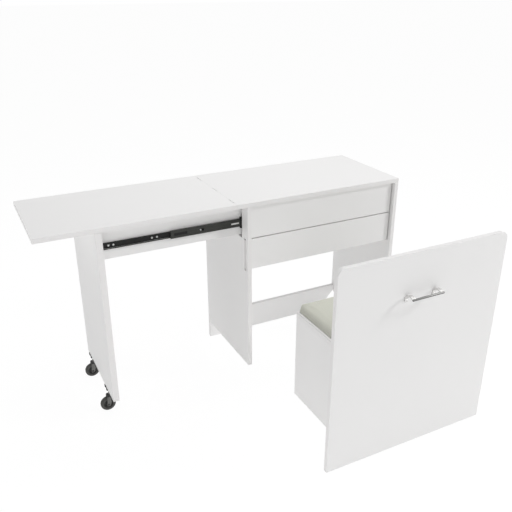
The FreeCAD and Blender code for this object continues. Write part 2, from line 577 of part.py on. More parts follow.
# pull on the outside of the panel: a bar on two arched straps, each with a small foot
pull_y = f"{panel_out} - pull_reach"
arch_y = f"{panel_out} - pull_reach / 2"
arch_z = f"{pull_z} - (arm_rad ^ 2 - pull_reach ^ 2 / 4) ^ 0.5"
bar = rod("pull_bar", "x", f"{pull_x} - pull_half", pull_y, pull_z, "bar_rad", "2 * pull_half")
pull_parts = [bar]
for number, x in enumerate((f"{pull_x} - pull_half", f"{pull_x} + pull_half - arm_wide")):
    ring = doc.addObject("Part::Cut", f"pull_ring_{number}")
    ring.Base = rod(f"pull_ring_{number}_outer", "x", x, arch_y, arch_z,
                    "arm_rad + arm_thick / 2", "arm_wide")
    ring.Tool = rod(f"pull_ring_{number}_inner", "x", f"{x} - 1", arch_y, arch_z,
                    "arm_rad - arm_thick / 2", "arm_wide + 2")
    strap = doc.addObject("Part::Common", f"pull_strap_{number}")
    strap.Base = ring
    strap.Tool = box(f"pull_strap_{number}_room", (x, f"{x} + arm_wide"), (pull_y, panel_out),
                     (f"{pull_z} - arm_thick", f"{pull_z} + arm_rad"))
    foot = box(f"pull_foot_{number}", (x, f"{x} + arm_wide"), (f"{panel_out} - foot_thick", panel_out),
               (f"{pull_z} - foot_half", f"{pull_z} + foot_half"))
    pull_parts += [strap, foot]
node("chair_pull", fuse("chair_pull_body", pull_parts))
pull_spots = [(x, f"{panel_out} - foot_thick + screw_skin", pull_z)
              for x in (f"{pull_x} - pull_half + arm_wide / 2", f"{pull_x} + pull_half - arm_wide / 2")]
pegs("pull_screws", "y", pull_spots, "screw_rad * 0.75", "board + foot_thick - 2 * screw_skin",
     ["chair_pull", "chair_back_panel"])

for name, parts in loose.items():
    node(name, group(name + "_set", parts))
doc.recompute()


def edges_where(shape, test):
    """Numbers of the edges of a shape whose middle and direction pass a test."""
    found = []
    for number, edge in enumerate(shape.Edges, 1):
        middle = edge.valueAt((edge.FirstParameter + edge.LastParameter) / 2)
        way = edge.tangentAt((edge.FirstParameter + edge.LastParameter) / 2)
        if test(middle, way):
            found.append(number)
    return found


def rounded(name, thing, numbers, radius):
    """The same shape with the given edges rounded."""
    smooth = doc.addObject("Part::Fillet", name)
    smooth.Base = thing
    smooth.Edges = [(number, radius, radius) for number in numbers]
    doc.recompute()
    return smooth


values = {alias: float(sheet.get(alias)) for alias in SIZES}
panel = bases["chair_back_panel"]
corners = edges_where(panel.Shape, lambda at, way: abs(way.y) > 0.9 and at.z > panel.Shape.BoundBox.ZMax - 1)
bases["chair_back_panel"] = rounded("chair_panel_round", panel, corners, values["panel_round"])

upright = edges_where(dome.Shape, lambda at, way: abs(way.z) > 0.9)
soft = rounded("cushion_corners", dome, upright, values["cushion_round"])
rim_low = values["seat_top"] + values["cushion_high"] - 3 * values["cushion_crown"]
rim = edges_where(soft.Shape, lambda at, way: at.z > rim_low and abs(way.z) < 0.5)
soft = rounded("cushion_rim", soft, rim, values["cushion_edge"])
foot = edges_where(soft.Shape, lambda at, way: at.z < values["seat_top"] + 0.01)
soft = rounded("cushion_foot_edge", soft, foot, values["cushion_foot"])
node("seat_cushion", soft)

# holes, labels and files
finished = {}
for name, thing in bases.items():
    tools = cuts[name]
    if tools:
        tool = tools[0] if len(tools) == 1 else fuse(name + "_tools", tools)
        whole = doc.addObject("Part::Cut", name + "_whole")
        whole.Base = thing
        whole.Tool = tool
        thing = whole
    thing.Label = name
    finished[name] = thing
doc.recompute()

for thing in doc.Objects:
    if "Invalid" in thing.State or "Error" in thing.State:
        raise RuntimeError(f"{thing.Label} does not compute: {thing.State}")
for name, thing in finished.items():
    if thing.Shape.isNull() or not thing.Shape.isValid() or not thing.Shape.Solids:
        raise RuntimeError(f"{name} is not a valid solid")

os.makedirs("parts", exist_ok=True)
for name, thing in finished.items():
    thing.Shape.exportStep(f"parts/{name}.step")
print(len(finished), "nodes,", sum(len(thing.Shape.Solids) for thing in finished.values()), "solids")
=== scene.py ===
"""Folding desk: melamine boards, telescopic slides, casters and a seat with a padded cushion and a pull."""
import json
import logging
import math
from dataclasses import dataclass, field
from enum import Enum
from typing import Callable, Iterable, Optional, Sequence, Union

import bmesh
import bpy
from mathutils import Matrix, Vector


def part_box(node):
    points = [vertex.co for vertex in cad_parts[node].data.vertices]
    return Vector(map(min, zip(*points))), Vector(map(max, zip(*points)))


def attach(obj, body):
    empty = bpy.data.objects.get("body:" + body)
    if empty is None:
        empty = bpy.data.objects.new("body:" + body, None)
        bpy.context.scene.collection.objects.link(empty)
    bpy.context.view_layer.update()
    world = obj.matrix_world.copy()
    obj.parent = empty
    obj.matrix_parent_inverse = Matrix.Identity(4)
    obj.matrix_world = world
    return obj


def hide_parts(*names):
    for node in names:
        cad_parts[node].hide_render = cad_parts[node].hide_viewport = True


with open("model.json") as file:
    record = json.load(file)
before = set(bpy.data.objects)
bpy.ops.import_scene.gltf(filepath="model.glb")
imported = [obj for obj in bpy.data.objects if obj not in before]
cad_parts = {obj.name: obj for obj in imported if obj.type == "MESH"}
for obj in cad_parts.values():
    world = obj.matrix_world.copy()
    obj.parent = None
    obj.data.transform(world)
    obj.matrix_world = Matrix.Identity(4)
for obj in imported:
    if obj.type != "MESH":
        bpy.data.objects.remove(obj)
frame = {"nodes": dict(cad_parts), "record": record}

LOG = logging.getLogger("folding_desk")
MM = 0.001
WHITE = (1.0, 1.0, 1.0, 1.0)
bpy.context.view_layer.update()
BODY_OF = {node: body for body, members in frame["record"]["behaviour"]["bodies"].items() for node in members}

Colour = tuple[float, float, float]
Spot = Sequence[float]


class Axis(Enum):
    """A direction of the frame that every piece shares."""

    X = 0
    Y = 1
    Z = 2

    @property
    def way(self) -> Vector:
        """The unit vector along the axis."""
        return Vector([1.0 if number == self.value else 0.0 for number in range(3)])

    @property
    def side(self) -> Vector:
        """A unit vector square to the axis."""
        return Vector([1.0 if number == (self.value + 1) % 3 else 0.0 for number in range(3)])


class Place(Enum):
    """The front and rear one of a pair of slides or casters."""

    FRONT = "front"
    REAR = "rear"

    @property
    def sign(self) -> int:
        """Which way along Y the slide's open side looks from the board it is screwed to."""
        return 1 if self is Place.FRONT else -1

    @property
    def turn(self) -> Matrix:
        """The half turn about Z that makes a front fitting a rear one."""
        return Matrix.Identity(4) if self is Place.FRONT else Matrix.Rotation(math.pi, 4, "Z")

    def web(self, low: Vector, high: Vector) -> float:
        """Where along Y a section between two corners has its web."""
        return low.y if self is Place.FRONT else high.y

    def mouth(self, low: Vector, high: Vector) -> float:
        """Where along Y a section between two corners opens."""
        return high.y if self is Place.FRONT else low.y


# shader graphs


class Wire:
    """A shader socket; arithmetic on it adds Math nodes to its graph."""

    def __init__(self, graph: "Graph", socket: bpy.types.NodeSocket) -> None:
        """Keeps the graph and the socket that the value comes out of."""
        self.graph = graph
        self.socket = socket

    def _maths(self, operation: str, first: "Value", second: "Value") -> "Wire":
        """One Math node on two values."""
        return self.graph.node("ShaderNodeMath", {"operation": operation}, {0: first, 1: second})["Value"]

    def __add__(self, other: "Value") -> "Wire":
        """This plus the other."""
        return self._maths("ADD", self, other)

    def __radd__(self, other: float) -> "Wire":
        """The other plus this."""
        return self._maths("ADD", other, self)

    def __sub__(self, other: "Value") -> "Wire":
        """This less the other."""
        return self._maths("SUBTRACT", self, other)

    def __rsub__(self, other: float) -> "Wire":
        """The other less this."""
        return self._maths("SUBTRACT", other, self)

    def __mul__(self, other: "Value") -> "Wire":
        """This times the other."""
        return self._maths("MULTIPLY", self, other)

    def __rmul__(self, other: float) -> "Wire":
        """The other times this."""
        return self._maths("MULTIPLY", other, self)


Value = Union[Wire, float]


class Block:
    """A shader node whose outputs are read as wires."""

    def __init__(self, graph: "Graph", node: bpy.types.Node) -> None:
        """Keeps the graph and its node."""
        self.graph = graph
        self.node = node

    def __getitem__(self, key: Union[str, int]) -> Wire:
        """The output of that name or number."""
        return Wire(self.graph, self.node.outputs[key])


class Graph:
    """The node tree of a material or of the world, built from nothing."""

    def __init__(self, tree: bpy.types.NodeTree) -> None:
        """Empties the tree."""
        self.tree = tree
        tree.nodes.clear()

    def node(self, kind: str, settings: Optional[dict] = None, values: Optional[dict] = None) -> Block:
        """Adds a node.

        Args:
            kind: the node's type.
            settings: the node's own settings, which are set first.
            values: numbers, colours or wires by socket name or number.

        Returns:
            The node, ready to have its outputs read.
        """
        made = self.tree.nodes.new(kind)
        for name, setting in (settings or {}).items():
            setattr(made, name, setting)
        for key, value in (values or {}).items():
            if isinstance(value, Wire):
                self.tree.links.new(value.socket, made.inputs[key])
            else:
                made.inputs[key].default_value = value
        return Block(self, made)

    def place(self, scale: Spot = (1.0, 1.0, 1.0)) -> Wire:
        """Object coordinates, stretched along each axis."""
        spot = self.node("ShaderNodeTexCoord")["Object"]
        return self.node("ShaderNodeMapping", None, {"Vector": spot, "Scale": tuple(scale)})["Vector"]

    def noise(self, place: Wire, scale: float, detail: float = 2.0, rough: float = 0.5) -> Wire:
        """Soft noise between 0 and 1."""
        return self.node("ShaderNodeTexNoise", None, {"Vector": place, "Scale": scale, "Detail": detail,
                                                      "Roughness": rough})["Fac"]

    def step(self, value: Wire, low: float, high: float) -> Wire:
        """A smooth mask that is 0 under low and 1 over high."""
        return self.node("ShaderNodeMapRange", {"interpolation_type": "SMOOTHSTEP"},
                         {"Value": value, "From Min": low, "From Max": high})["Result"]

    def blend(self, factor: Value, first: Union[Wire, Colour], second: Union[Wire, Colour]) -> Wire:
        """A colour between two."""
        ends = [colour if isinstance(colour, Wire) else (*colour, 1.0) for colour in (first, second)]
        return self.node("ShaderNodeMix", {"data_type": "RGBA"}, {0: factor, 6: ends[0], 7: ends[1]})[2]

    def bump(self, height: Wire, strength: float, depth: float) -> Wire:
        """A normal that follows a height; depth is in metres."""
        return self.node("ShaderNodeBump", None, {"Height": height, "Strength": strength,
                                                  "Distance": depth})["Normal"]

    def surface(self, values: dict) -> None:
        """Ends the graph in one Principled shader."""
        shader = self.node("ShaderNodeBsdfPrincipled", None, values)["BSDF"]
        self.node("ShaderNodeOutputMaterial", None, {"Surface": shader})


def shade(colour: Colour, factor: float) -> Colour:
    """A colour made lighter or darker."""
    return tuple(min(1.0, channel * factor) for channel in colour)


# finishes


@dataclass(frozen=True)
class Finish:
    """A surface finish; its material is made once, on first use."""

    name: str
    colour: Colour

    def material(self) -> bpy.types.Material:
        """The finish's material.

        Returns:
            The material, which is made if it isn't there yet.
        """
        made = bpy.data.materials.get(self.name)
        if made is None:
            made = bpy.data.materials.new(self.name)
            made.use_nodes = True
            self.dress(Graph(made.node_tree))
        return made

    def dress(self, graph: Graph) -> None:
        """Builds the finish's shader.

        Args:
            graph: the material's empty graph.
        """
        raise NotImplementedError

    def tone(self, graph: Graph, mask: Wire, dark: float, light: float) -> Wire:
        """The finish's colour, varied by a mask between a darker and a lighter shade of it."""
        return graph.blend(mask, shade(self.colour, dark), shade(self.colour, light))


@dataclass(frozen=True)
class Melamine(Finish):
    """White board face: a fine pearl print under a satin film, with faint rubbed patches."""

    satin: float = 0.42

    def dress(self, graph: Graph) -> None:
        """Builds the finish's shader.

        Args:
            graph: the material's empty graph.
        """
        drift = graph.noise(graph.place(), 1.9, 3.0)
        pearl = graph.noise(graph.place(), 1250.0, 1.0)
        rubbed = graph.step(graph.noise(graph.place((1.0, 1.0, 2.5)), 7.0, 5.0, 0.6), 0.5, 0.72)
        graph.surface({
            "Base Color": self.tone(graph, drift * 0.65 + pearl * 0.35, 0.972, 1.02),
            "Roughness": self.satin + pearl * 0.1 - rubbed * 0.06,
            "Specular IOR Level": 0.14,
            "Normal": graph.bump(pearl, 0.09, 0.2 * MM),
        })


@dataclass(frozen=True)
class EdgeBand(Finish):
    """Glued-on edging: drawn plastic with fine lines and a slightly worn, glossier crown."""

    gloss: float = 0.3

    def dress(self, graph: Graph) -> None:
        """Builds the finish's shader.

        Args:
            graph: the material's empty graph.
        """
        lines = graph.noise(graph.place((18.0, 18.0, 900.0)), 1.0, 2.0)
        specks = graph.noise(graph.place(), 320.0, 3.0)
        knocks = graph.step(graph.noise(graph.place(), 38.0, 4.0, 0.65), 0.66, 0.78)
        tone = self.tone(graph, lines * 0.5 + specks * 0.5, 0.96, 1.02)
        graph.surface({
            "Base Color": graph.blend(knocks * 0.35, tone, shade(self.colour, 0.86)),
            "Roughness": self.gloss + specks * 0.16 + knocks * 0.1,
            "Specular IOR Level": 0.18,
            "Normal": graph.bump(lines + knocks * -0.4, 0.06, 0.15 * MM),
        })


@dataclass(frozen=True)
class CoatedSteel(Finish):
    """Dark coated strip steel, drawn along X, with bright rubbing where sections run."""

    rubbed: Colour = (0.2, 0.2, 0.19)
    gloss: float = 0.34
    metal: float = 0.25

    def dress(self, graph: Graph) -> None:
        """Builds the finish's shader.

        Args:
            graph: the material's empty graph.
        """
        streak = graph.noise(graph.place((5.0, 420.0, 620.0)), 1.0, 3.0, 0.6)
        speck = graph.noise(graph.place(), 1500.0, 1.0)
        dull = graph.noise(graph.place((0.4, 1.0, 1.0)), 16.0, 3.0)
        wear = graph.step(streak, 0.58, 0.82)
        base = self.tone(graph, dull, 0.8, 1.25)
        graph.surface({
            "Base Color": graph.blend(wear * 0.45, base, self.rubbed),
            "Roughness": self.gloss + speck * 0.12 - wear * 0.08,
            "Specular IOR Level": 0.3,
            "Metallic": self.metal + wear * 0.3,
            "Normal": graph.bump(streak * 0.6 + speck * 0.4, 0.12, 0.12 * MM),
        })


@dataclass(frozen=True)
class PaintedSteel(Finish):
    """Dark enamel on pressed steel: orange peel, dust in the hollows."""

    dust: Colour = (0.2, 0.195, 0.185)
    gloss: float = 0.38

    def dress(self, graph: Graph) -> None:
        """Builds the finish's shader.

        Args:
            graph: the material's empty graph.
        """
        peel = graph.noise(graph.place(), 620.0, 2.0)
        settled = graph.step(graph.noise(graph.place(), 55.0, 5.0, 0.6), 0.48, 0.74)
        tone = self.tone(graph, peel, 0.88, 1.12)
        graph.surface({
            "Base Color": graph.blend(settled * 0.4, tone, self.dust),
            "Roughness": self.gloss + peel * 0.08 + settled * 0.18,
            "Specular IOR Level": 0.45,
            "Normal": graph.bump(peel, 0.14, 0.15 * MM),
        })


@dataclass(frozen=True)
class Rubber(Finish):
    """Wheel tread: matt, with floor dust worked into it and scuffs round the rim."""

    dust: Colour = (0.17, 0.165, 0.155)

    def dress(self, graph: Graph) -> None:
        """Builds the finish's shader.

        Args:
            graph: the material's empty graph.
        """
        grain = graph.noise(graph.place(), 1600.0, 2.0)
        scuffs = graph.step(graph.noise(graph.place((1.0, 0.25, 1.0)), 210.0, 4.0, 0.6), 0.5, 0.7)
        tone = self.tone(graph, grain, 0.85, 1.18)
        graph.surface({
            "Base Color": graph.blend(scuffs * 0.35, tone, self.dust),
            "Roughness": 0.66 + grain * 0.16,
            "Specular IOR Level": 0.3,
            "Normal": graph.bump(grain * 0.5 + scuffs * 0.5, 0.2, 0.2 * MM),
        })


@dataclass(frozen=True)
class MouldedPlastic(Finish):
    """Moulded plastic with a fine spark-eroded grain."""

    gloss: float = 0.46

    def dress(self, graph: Graph) -> None:
        """Builds the finish's shader.

        Args:
            graph: the material's empty graph.
        """
        grain = graph.noise(graph.place(), 1900.0, 1.0)
        flow = graph.noise(graph.place(), 60.0, 3.0)
        graph.surface({
            "Base Color": self.tone(graph, flow * 0.6 + grain * 0.4, 0.86, 1.14),
            "Roughness": self.gloss + grain * 0.14,
            "Specular IOR Level": 0.42,
            "Normal": graph.bump(grain, 0.14, 0.12 * MM),
        })


@dataclass(frozen=True)
class Plated(Finish):
    """Zinc-plated steel: cloudy passivation over a fine drawn grain."""

    gloss: float = 0.26

    def dress(self, graph: Graph) -> None:
        """Builds the finish's shader.

        Args:
            graph: the material's empty graph.
        """
        clouds = graph.noise(graph.place(), 130.0, 4.0, 0.6)
        drawn = graph.noise(graph.place((60.0, 60.0, 1400.0)), 1.0, 2.0)
        graph.surface({
            "Base Color": self.tone(graph, clouds, 0.82, 1.1),
            "Roughness": self.gloss + clouds * 0.14 + drawn * 0.06,
            "Metallic": 1.0,
            "Normal": graph.bump(drawn, 0.1, 0.08 * MM),
        })


@dataclass(frozen=True)
class Brushed(Finish):
    """Satin metal, brushed along X."""

    gloss: float = 0.28

    def dress(self, graph: Graph) -> None:
        """Builds the finish's shader.

        Args:
            graph: the material's empty graph.
        """
        lines = graph.noise(graph.place((22.0, 1500.0, 1500.0)), 1.0, 2.0)
        clouds = graph.noise(graph.place(), 45.0, 3.0)
        graph.surface({
            "Base Color": self.tone(graph, lines * 0.5 + clouds * 0.5, 0.85, 1.12),
            "Roughness": self.gloss + lines * 0.14,
            "Metallic": 1.0,
            "Normal": graph.bump(lines, 0.12, 0.06 * MM),
        })


@dataclass(frozen=True)
class Beech(Finish):
    """Turned beech with short dark flecks along the grain."""

    fleck: Colour = (0.33, 0.2, 0.1)

    def dress(self, graph: Graph) -> None:
        """Builds the finish's shader.

        Args:
            graph: the material's empty graph.
        """
        grain = graph.noise(graph.place((90.0, 700.0, 700.0)), 1.0, 3.0)
        flecks = graph.step(graph.noise(graph.place((220.0, 1500.0, 1500.0)), 1.0, 2.0), 0.6, 0.72)
        tone = self.tone(graph, grain, 0.84, 1.1)
        graph.surface({
            "Base Color": graph.blend(flecks * 0.5, tone, self.fleck),
            "Roughness": 0.52 + grain * 0.16,
            "Normal": graph.bump(grain, 0.15, 0.15 * MM),
        })


@dataclass(frozen=True)
class Vinyl(Finish):
    """Upholstery vinyl: small pebbled cells, fine creases, a soft sheen, painted shade on the sides below the
    top, and painted shade in the grooves between the cells.
    """

    cells: float = 620.0
    # heights in metres over which the painted shade on the sides fades out towards the top
    side_shade_heights: tuple[float, float] = (0.374, 0.396)

    def dress(self, graph: Graph) -> None:
        """Builds the finish's shader.

        Args:
            graph: the material's empty graph.
        """
        place = graph.place()
        wander = graph.node("ShaderNodeTexNoise", None,
                            {"Vector": place, "Scale": 240.0, "Detail": 2.0})["Color"]
        bent = graph.node("ShaderNodeMix", {"data_type": "VECTOR"}, {0: 0.0016, 4: place, 5: wander})[1]
        pebble = graph.node("ShaderNodeTexVoronoi", {"feature": "DISTANCE_TO_EDGE"},
                            {"Vector": bent, "Scale": self.cells})["Distance"]
        raised = graph.step(pebble, 0.02, 0.3)
        drift = graph.noise(place, 6.0, 3.0)
        creases = graph.step(graph.noise(place, 34.0, 5.0, 0.6), 0.46, 0.56)
        tone = self.tone(graph, drift * 0.7 + raised * 0.3, 0.95, 1.04)
        height = graph.node("ShaderNodeSeparateXYZ", None, {"Vector": place})["Z"]
        # painted shade: below these heights the vinyl is blended towards a darker copy of itself, so the
        # sides are darker than the top
        shaded_sides = graph.blend((1 - graph.step(height, *self.side_shade_heights)) * 0.8, tone, shade(self.colour, 0.76))
        graph.surface({
            # painted shade: the grooves between the pebbled cells are blended a little darker
            "Base Color": graph.blend(0.1 - raised * 0.1, shaded_sides, shade(self.colour, 0.6)),
            "Roughness": 0.5 - raised * 0.08 + drift * 0.1,
            "Specular IOR Level": 0.4,
            "Normal": graph.bump(raised * 0.8 + creases * 0.2, 0.22, 0.25 * MM),
        })


@dataclass(frozen=True)
class Finishes:
    """Every finish of the desk."""

    board: Melamine = Melamine("white_melamine", (0.885, 0.88, 0.876))
    band: EdgeBand = EdgeBand("white_edge_band", (0.87, 0.86, 0.856))
    slide: CoatedSteel = CoatedSteel("black_slide_steel", (0.042, 0.043, 0.04))
    # painted shade: a darker, less shiny copy of the slide steel for the inner sections, whose open channels
    # are in shade
    inner: CoatedSteel = CoatedSteel("black_inner_steel_painted_shade", (0.012, 0.012, 0.0115), rubbed=(0.06, 0.06, 0.057),
                                     gloss=0.5, metal=0.05)
    # painted highlight: a bright copy of the slide steel for the edge faces of the outer and middle sections'
    # lips
    lip: CoatedSteel = CoatedSteel("slide_lip_painted_highlight", (0.3, 0.3, 0.29), rubbed=(0.62, 0.62, 0.6), gloss=0.26)
    # painted highlight: a bright copy of the slide steel along the upper face of the inner sections' lower
    # flanges; the same finish colours the bright stop on the middle sections' webs
    race: CoatedSteel = CoatedSteel("bright_stop_steel_and_painted_highlight", (0.72, 0.72, 0.7), rubbed=(0.85, 0.85, 0.83),
                                    gloss=0.4)
    lever: MouldedPlastic = MouldedPlastic("black_lever_plastic", (0.006, 0.006, 0.006), gloss=0.6)
    fork: PaintedSteel = PaintedSteel("caster_enamel", (0.15, 0.15, 0.143))
    tyre: Rubber = Rubber("caster_rubber", (0.08, 0.08, 0.076))
    hub: MouldedPlastic = MouldedPlastic("caster_hub_plastic", (0.022, 0.022, 0.021))
    zinc: Plated = Plated("zinc_plate", (0.64, 0.65, 0.64))
    bolt: PaintedSteel = PaintedSteel("dark_bolt_steel", (0.03, 0.03, 0.03), dust=(0.09, 0.09, 0.086),
                                      gloss=0.5)
    enamel: PaintedSteel = PaintedSteel("white_hinge_enamel", (0.88, 0.875, 0.87), dust=(0.82, 0.81, 0.8),
                                        gloss=0.4)
    beech: Beech = Beech("beech_dowel", (0.6, 0.42, 0.25))
    bar: Brushed = Brushed("pull_bar_metal", (0.22, 0.22, 0.215), gloss=0.3)
    strap: Brushed = Brushed("pull_strap_metal", (0.72, 0.715, 0.705), gloss=0.4)
    vinyl: Vinyl = Vinyl("seat_vinyl", (0.63, 0.635, 0.56))


FINISHES = Finishes()


# shaping


class Form:
    """A mesh under way, shaped with bmesh operators, in metres."""

    def __init__(self) -> None:
        """Starts with nothing."""
        self.bm = bmesh.new()

    @classmethod
    def of_node(cls, node: str) -> "Form":
        """A merged copy of a CAD node's mesh, with its flat faces whole.

        Args:
            node: the node's name.

        Returns:
            The copy.
        """
        form = cls()
        form.bm.from_mesh(frame["nodes"][node].data)
        bmesh.ops.remove_doubles(form.bm, verts=form.bm.verts, dist=0.004 * MM)
        bmesh.ops.dissolve_limit(form.bm, angle_limit=math.radians(0.5), use_dissolve_boundaries=False,
                                 verts=form.bm.verts, edges=form.bm.edges, delimit=set())
        return form

    @classmethod
    def block(cls, low: Spot, high: Spot) -> "Form":
        """A block between two corners.

        Args:
            low: the low corner.
            high: the high corner.

        Returns:
            The block.
        """
        form = cls()
        made = bmesh.ops.create_cube(form.bm, size=1.0)["verts"]
        low, high = Vector(low), Vector(high)
        bmesh.ops.scale(form.bm, vec=high - low, verts=made)
        bmesh.ops.translate(form.bm, vec=(low + high) / 2, verts=made)
        return form

    @classmethod
    def between(cls, *spans: Sequence[float]) -> "Form":
        """A block between two planes along each of X, Y and Z, in either order."""
        return cls.block([min(span) for span in spans], [max(span) for span in spans])

    @classmethod
    def turned(cls, outline: Sequence[tuple[float, float]], centre: Spot, axis: Axis, steps: int = 40,
               closed: bool = False) -> "Form":
        """Turns an outline round an axis.

        Args:
            outline: (radius, distance along the axis) pairs, in mm.
            centre: the point of the axis that distances are counted from.
            axis: the axis to turn round.
            steps: how many faces go round.
            closed: joins the outline's last point to its first, as a ring needs.

        Returns:
            The turned form.
        """
        form = cls()
        centre = Vector(centre)
        verts = [form.bm.verts.new(centre + axis.side * radius * MM + axis.way * along * MM)
                 for radius, along in outline]
        pairs = list(zip(verts, verts[1:])) + ([(verts[-1], verts[0])] if closed else [])
        edges = [form.bm.edges.new(pair) for pair in pairs]
        bmesh.ops.spin(form.bm, geom=verts + edges, cent=centre, axis=axis.way, angle=2 * math.pi,
                       steps=steps, use_merge=True)
        return form.tidy()

    @classmethod
    def plate(cls, outline: Sequence[Spot], along: Spot) -> "Form":
        """A flat plate.

        Args:
            outline: the points of its outline.
            along: the vector that the outline is pushed out along.

        Returns:
            The plate.
        """
        form = cls()
        face = form.bm.faces.new([form.bm.verts.new(point) for point in outline])
        made = bmesh.ops.extrude_face_region(form.bm, geom=[face])["geom"]
        bmesh.ops.translate(form.bm, vec=Vector(along),
                            verts=[item for item in made if isinstance(item, bmesh.types.BMVert)])
        return form.tidy()

    def tidy(self) -> "Form":
        """Merges doubles and turns every face outwards.

        Returns:
            This form.
        """
        bmesh.ops.remove_doubles(self.bm, verts=self.bm.verts, dist=0.002 * MM)
        bmesh.ops.dissolve_degenerate(self.bm, edges=self.bm.edges, dist=0.001 * MM)
        bmesh.ops.recalc_face_normals(self.bm, faces=self.bm.faces)
        return self

    def edges(self, test: Callable[[bmesh.types.BMEdge], bool]) -> list[bmesh.types.BMEdge]:
        """The edges between two faces that pass a test."""
        return [edge for edge in self.bm.edges if len(edge.link_faces) == 2 and test(edge)]

    def along(self, axis: Axis, least: float = 1.0) -> list[bmesh.types.BMEdge]:
        """The edges that run more than a length along an axis, in mm."""
        return self.edges(lambda edge: abs((edge.verts[0].co - edge.verts[1].co)[axis.value]) > least * MM)

    def sharp(self, degrees: float = 40.0) -> list[bmesh.types.BMEdge]:
        """The edges where the surface turns by more than an angle."""
        return self.edges(lambda edge: edge.calc_face_angle(0.0) > math.radians(degrees))

    def soften(self, width: float, segments: int = 3, degrees: float = 40.0) -> "Form":
        """Rounds over every edge where the surface turns by more than an angle."""
        return self.ease(self.sharp(degrees), width, segments)

    def ease(self, edges: Iterable[bmesh.types.BMEdge], width: float, segments: int = 3) -> "Form":
        """Rounds edges over.

        Args:
            edges: the edges.
            width: how far the rounding reaches from each edge, in mm.
            segments: how many faces go round.

        Returns:
            This form.
        """
        made = bmesh.ops.bevel(self.bm, geom=list(edges), offset=width * MM, offset_type="OFFSET",
                               segments=segments, profile=0.5, affect="EDGES", material=-1,
                               clamp_overlap=False)
        for face in made["faces"]:
            face.smooth = True
        return self

    def paint(self, number: int, test: Callable[[bmesh.types.BMFace], bool] = lambda face: True) -> "Form":
        """Gives faces one of the piece's finishes.

        Args:
            number: the finish's number in the piece's list.
            test: passes the faces that get it.

        Returns:
            This form.
        """
        for face in self.bm.faces:
            if test(face):
                face.material_index = number
        return self

    def add(self, other: "Form", at: Matrix = Matrix.Identity(4)) -> "Form":
        """Adds a copy of another form.

        Args:
            other: the other form.
            at: the matrix that moves the copy.

        Returns:
            This form.
        """
        mesh = bpy.data.meshes.new("part")
        other.bm.to_mesh(mesh)
        mesh.transform(at)
        self.bm.from_mesh(mesh)
        bpy.data.meshes.remove(mesh)
        return self

    def mesh(self, name: str) -> bpy.types.Mesh:
        """Ends the shaping.

        Args:
            name: the mesh's name.

        Returns:
            The form as a mesh.
        """
        mesh = bpy.data.meshes.new(name)
        self.bm.to_mesh(mesh)
        self.bm.free()
        return mesh

    def stand_in(self, node: str, suffix: str, finishes: Sequence[Finish], slot: str,
                 smooth: Optional[float] = None) -> None:
        """Makes the form the piece that replaces one CAD node, on that node's body."""
        self.piece(f"{node}_{suffix}", BODY_OF[node], finishes, slot, [node], smooth)

    def piece(self, name: str, body: str, finishes: Sequence[Finish], slot: str,
              stands_for: Sequence[str] = (), smooth: Optional[float] = None) -> None:
        """Makes the form an object of the scene.

        Args:
            name: the piece's name.
            body: the CAD body it rides on.
            finishes: its finishes, in the order of their numbers.
            slot: the record's material slot; not used.
            stands_for: the CAD nodes that it replaces.
            smooth: shades everything smooth, with edges sharper than this many degrees left hard.
        """
        mesh = self.mesh(name)
        for finish in finishes:
            mesh.materials.append(finish.material())
        if smooth is not None:
            mesh.shade_smooth()
            mesh.set_sharp_from_angle(angle=math.radians(smooth))
        made = link(name, mesh)
        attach(made, body)
        if stands_for:
            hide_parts(*stands_for)
        LOG.info("%s rides on %s, %d faces", name, body, len(mesh.polygons))


def link(name: str, data: bpy.types.ID) -> bpy.types.Object:
    """Puts a new object in the scene.

    Args:
        name: the object's name.
        data: its mesh, lamp or camera.

    Returns:
        The object.
    """
    made = bpy.data.objects.new(name, data)
    bpy.context.scene.collection.objects.link(made)
    return made


def middle(node: str) -> Vector:
    """The middle of a CAD node's box."""
    low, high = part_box(node)
    return (low + high) / 2


def shift(x: float, y: float, z: float) -> Matrix:
    """A move, in metres."""
    return Matrix.Translation((x, y, z))


def dress_node(node: str, finish: Finish) -> None:
    """Gives a CAD node that stays in view its finish.

    Args:
        node: the node's name.
        finish: its finish.
    """
    mesh = frame["nodes"][node].data
    mesh.materials.clear()
    mesh.materials.append(finish.material())
    LOG.info("%s keeps its shape and gets %s", node, finish.name)


# sub-assemblies


class Cut(Enum):
    """How a board's outline is got."""

    PLAIN = "a plain block"
    SHAPED = "slots, notches or sockets, copied from the packed shape"


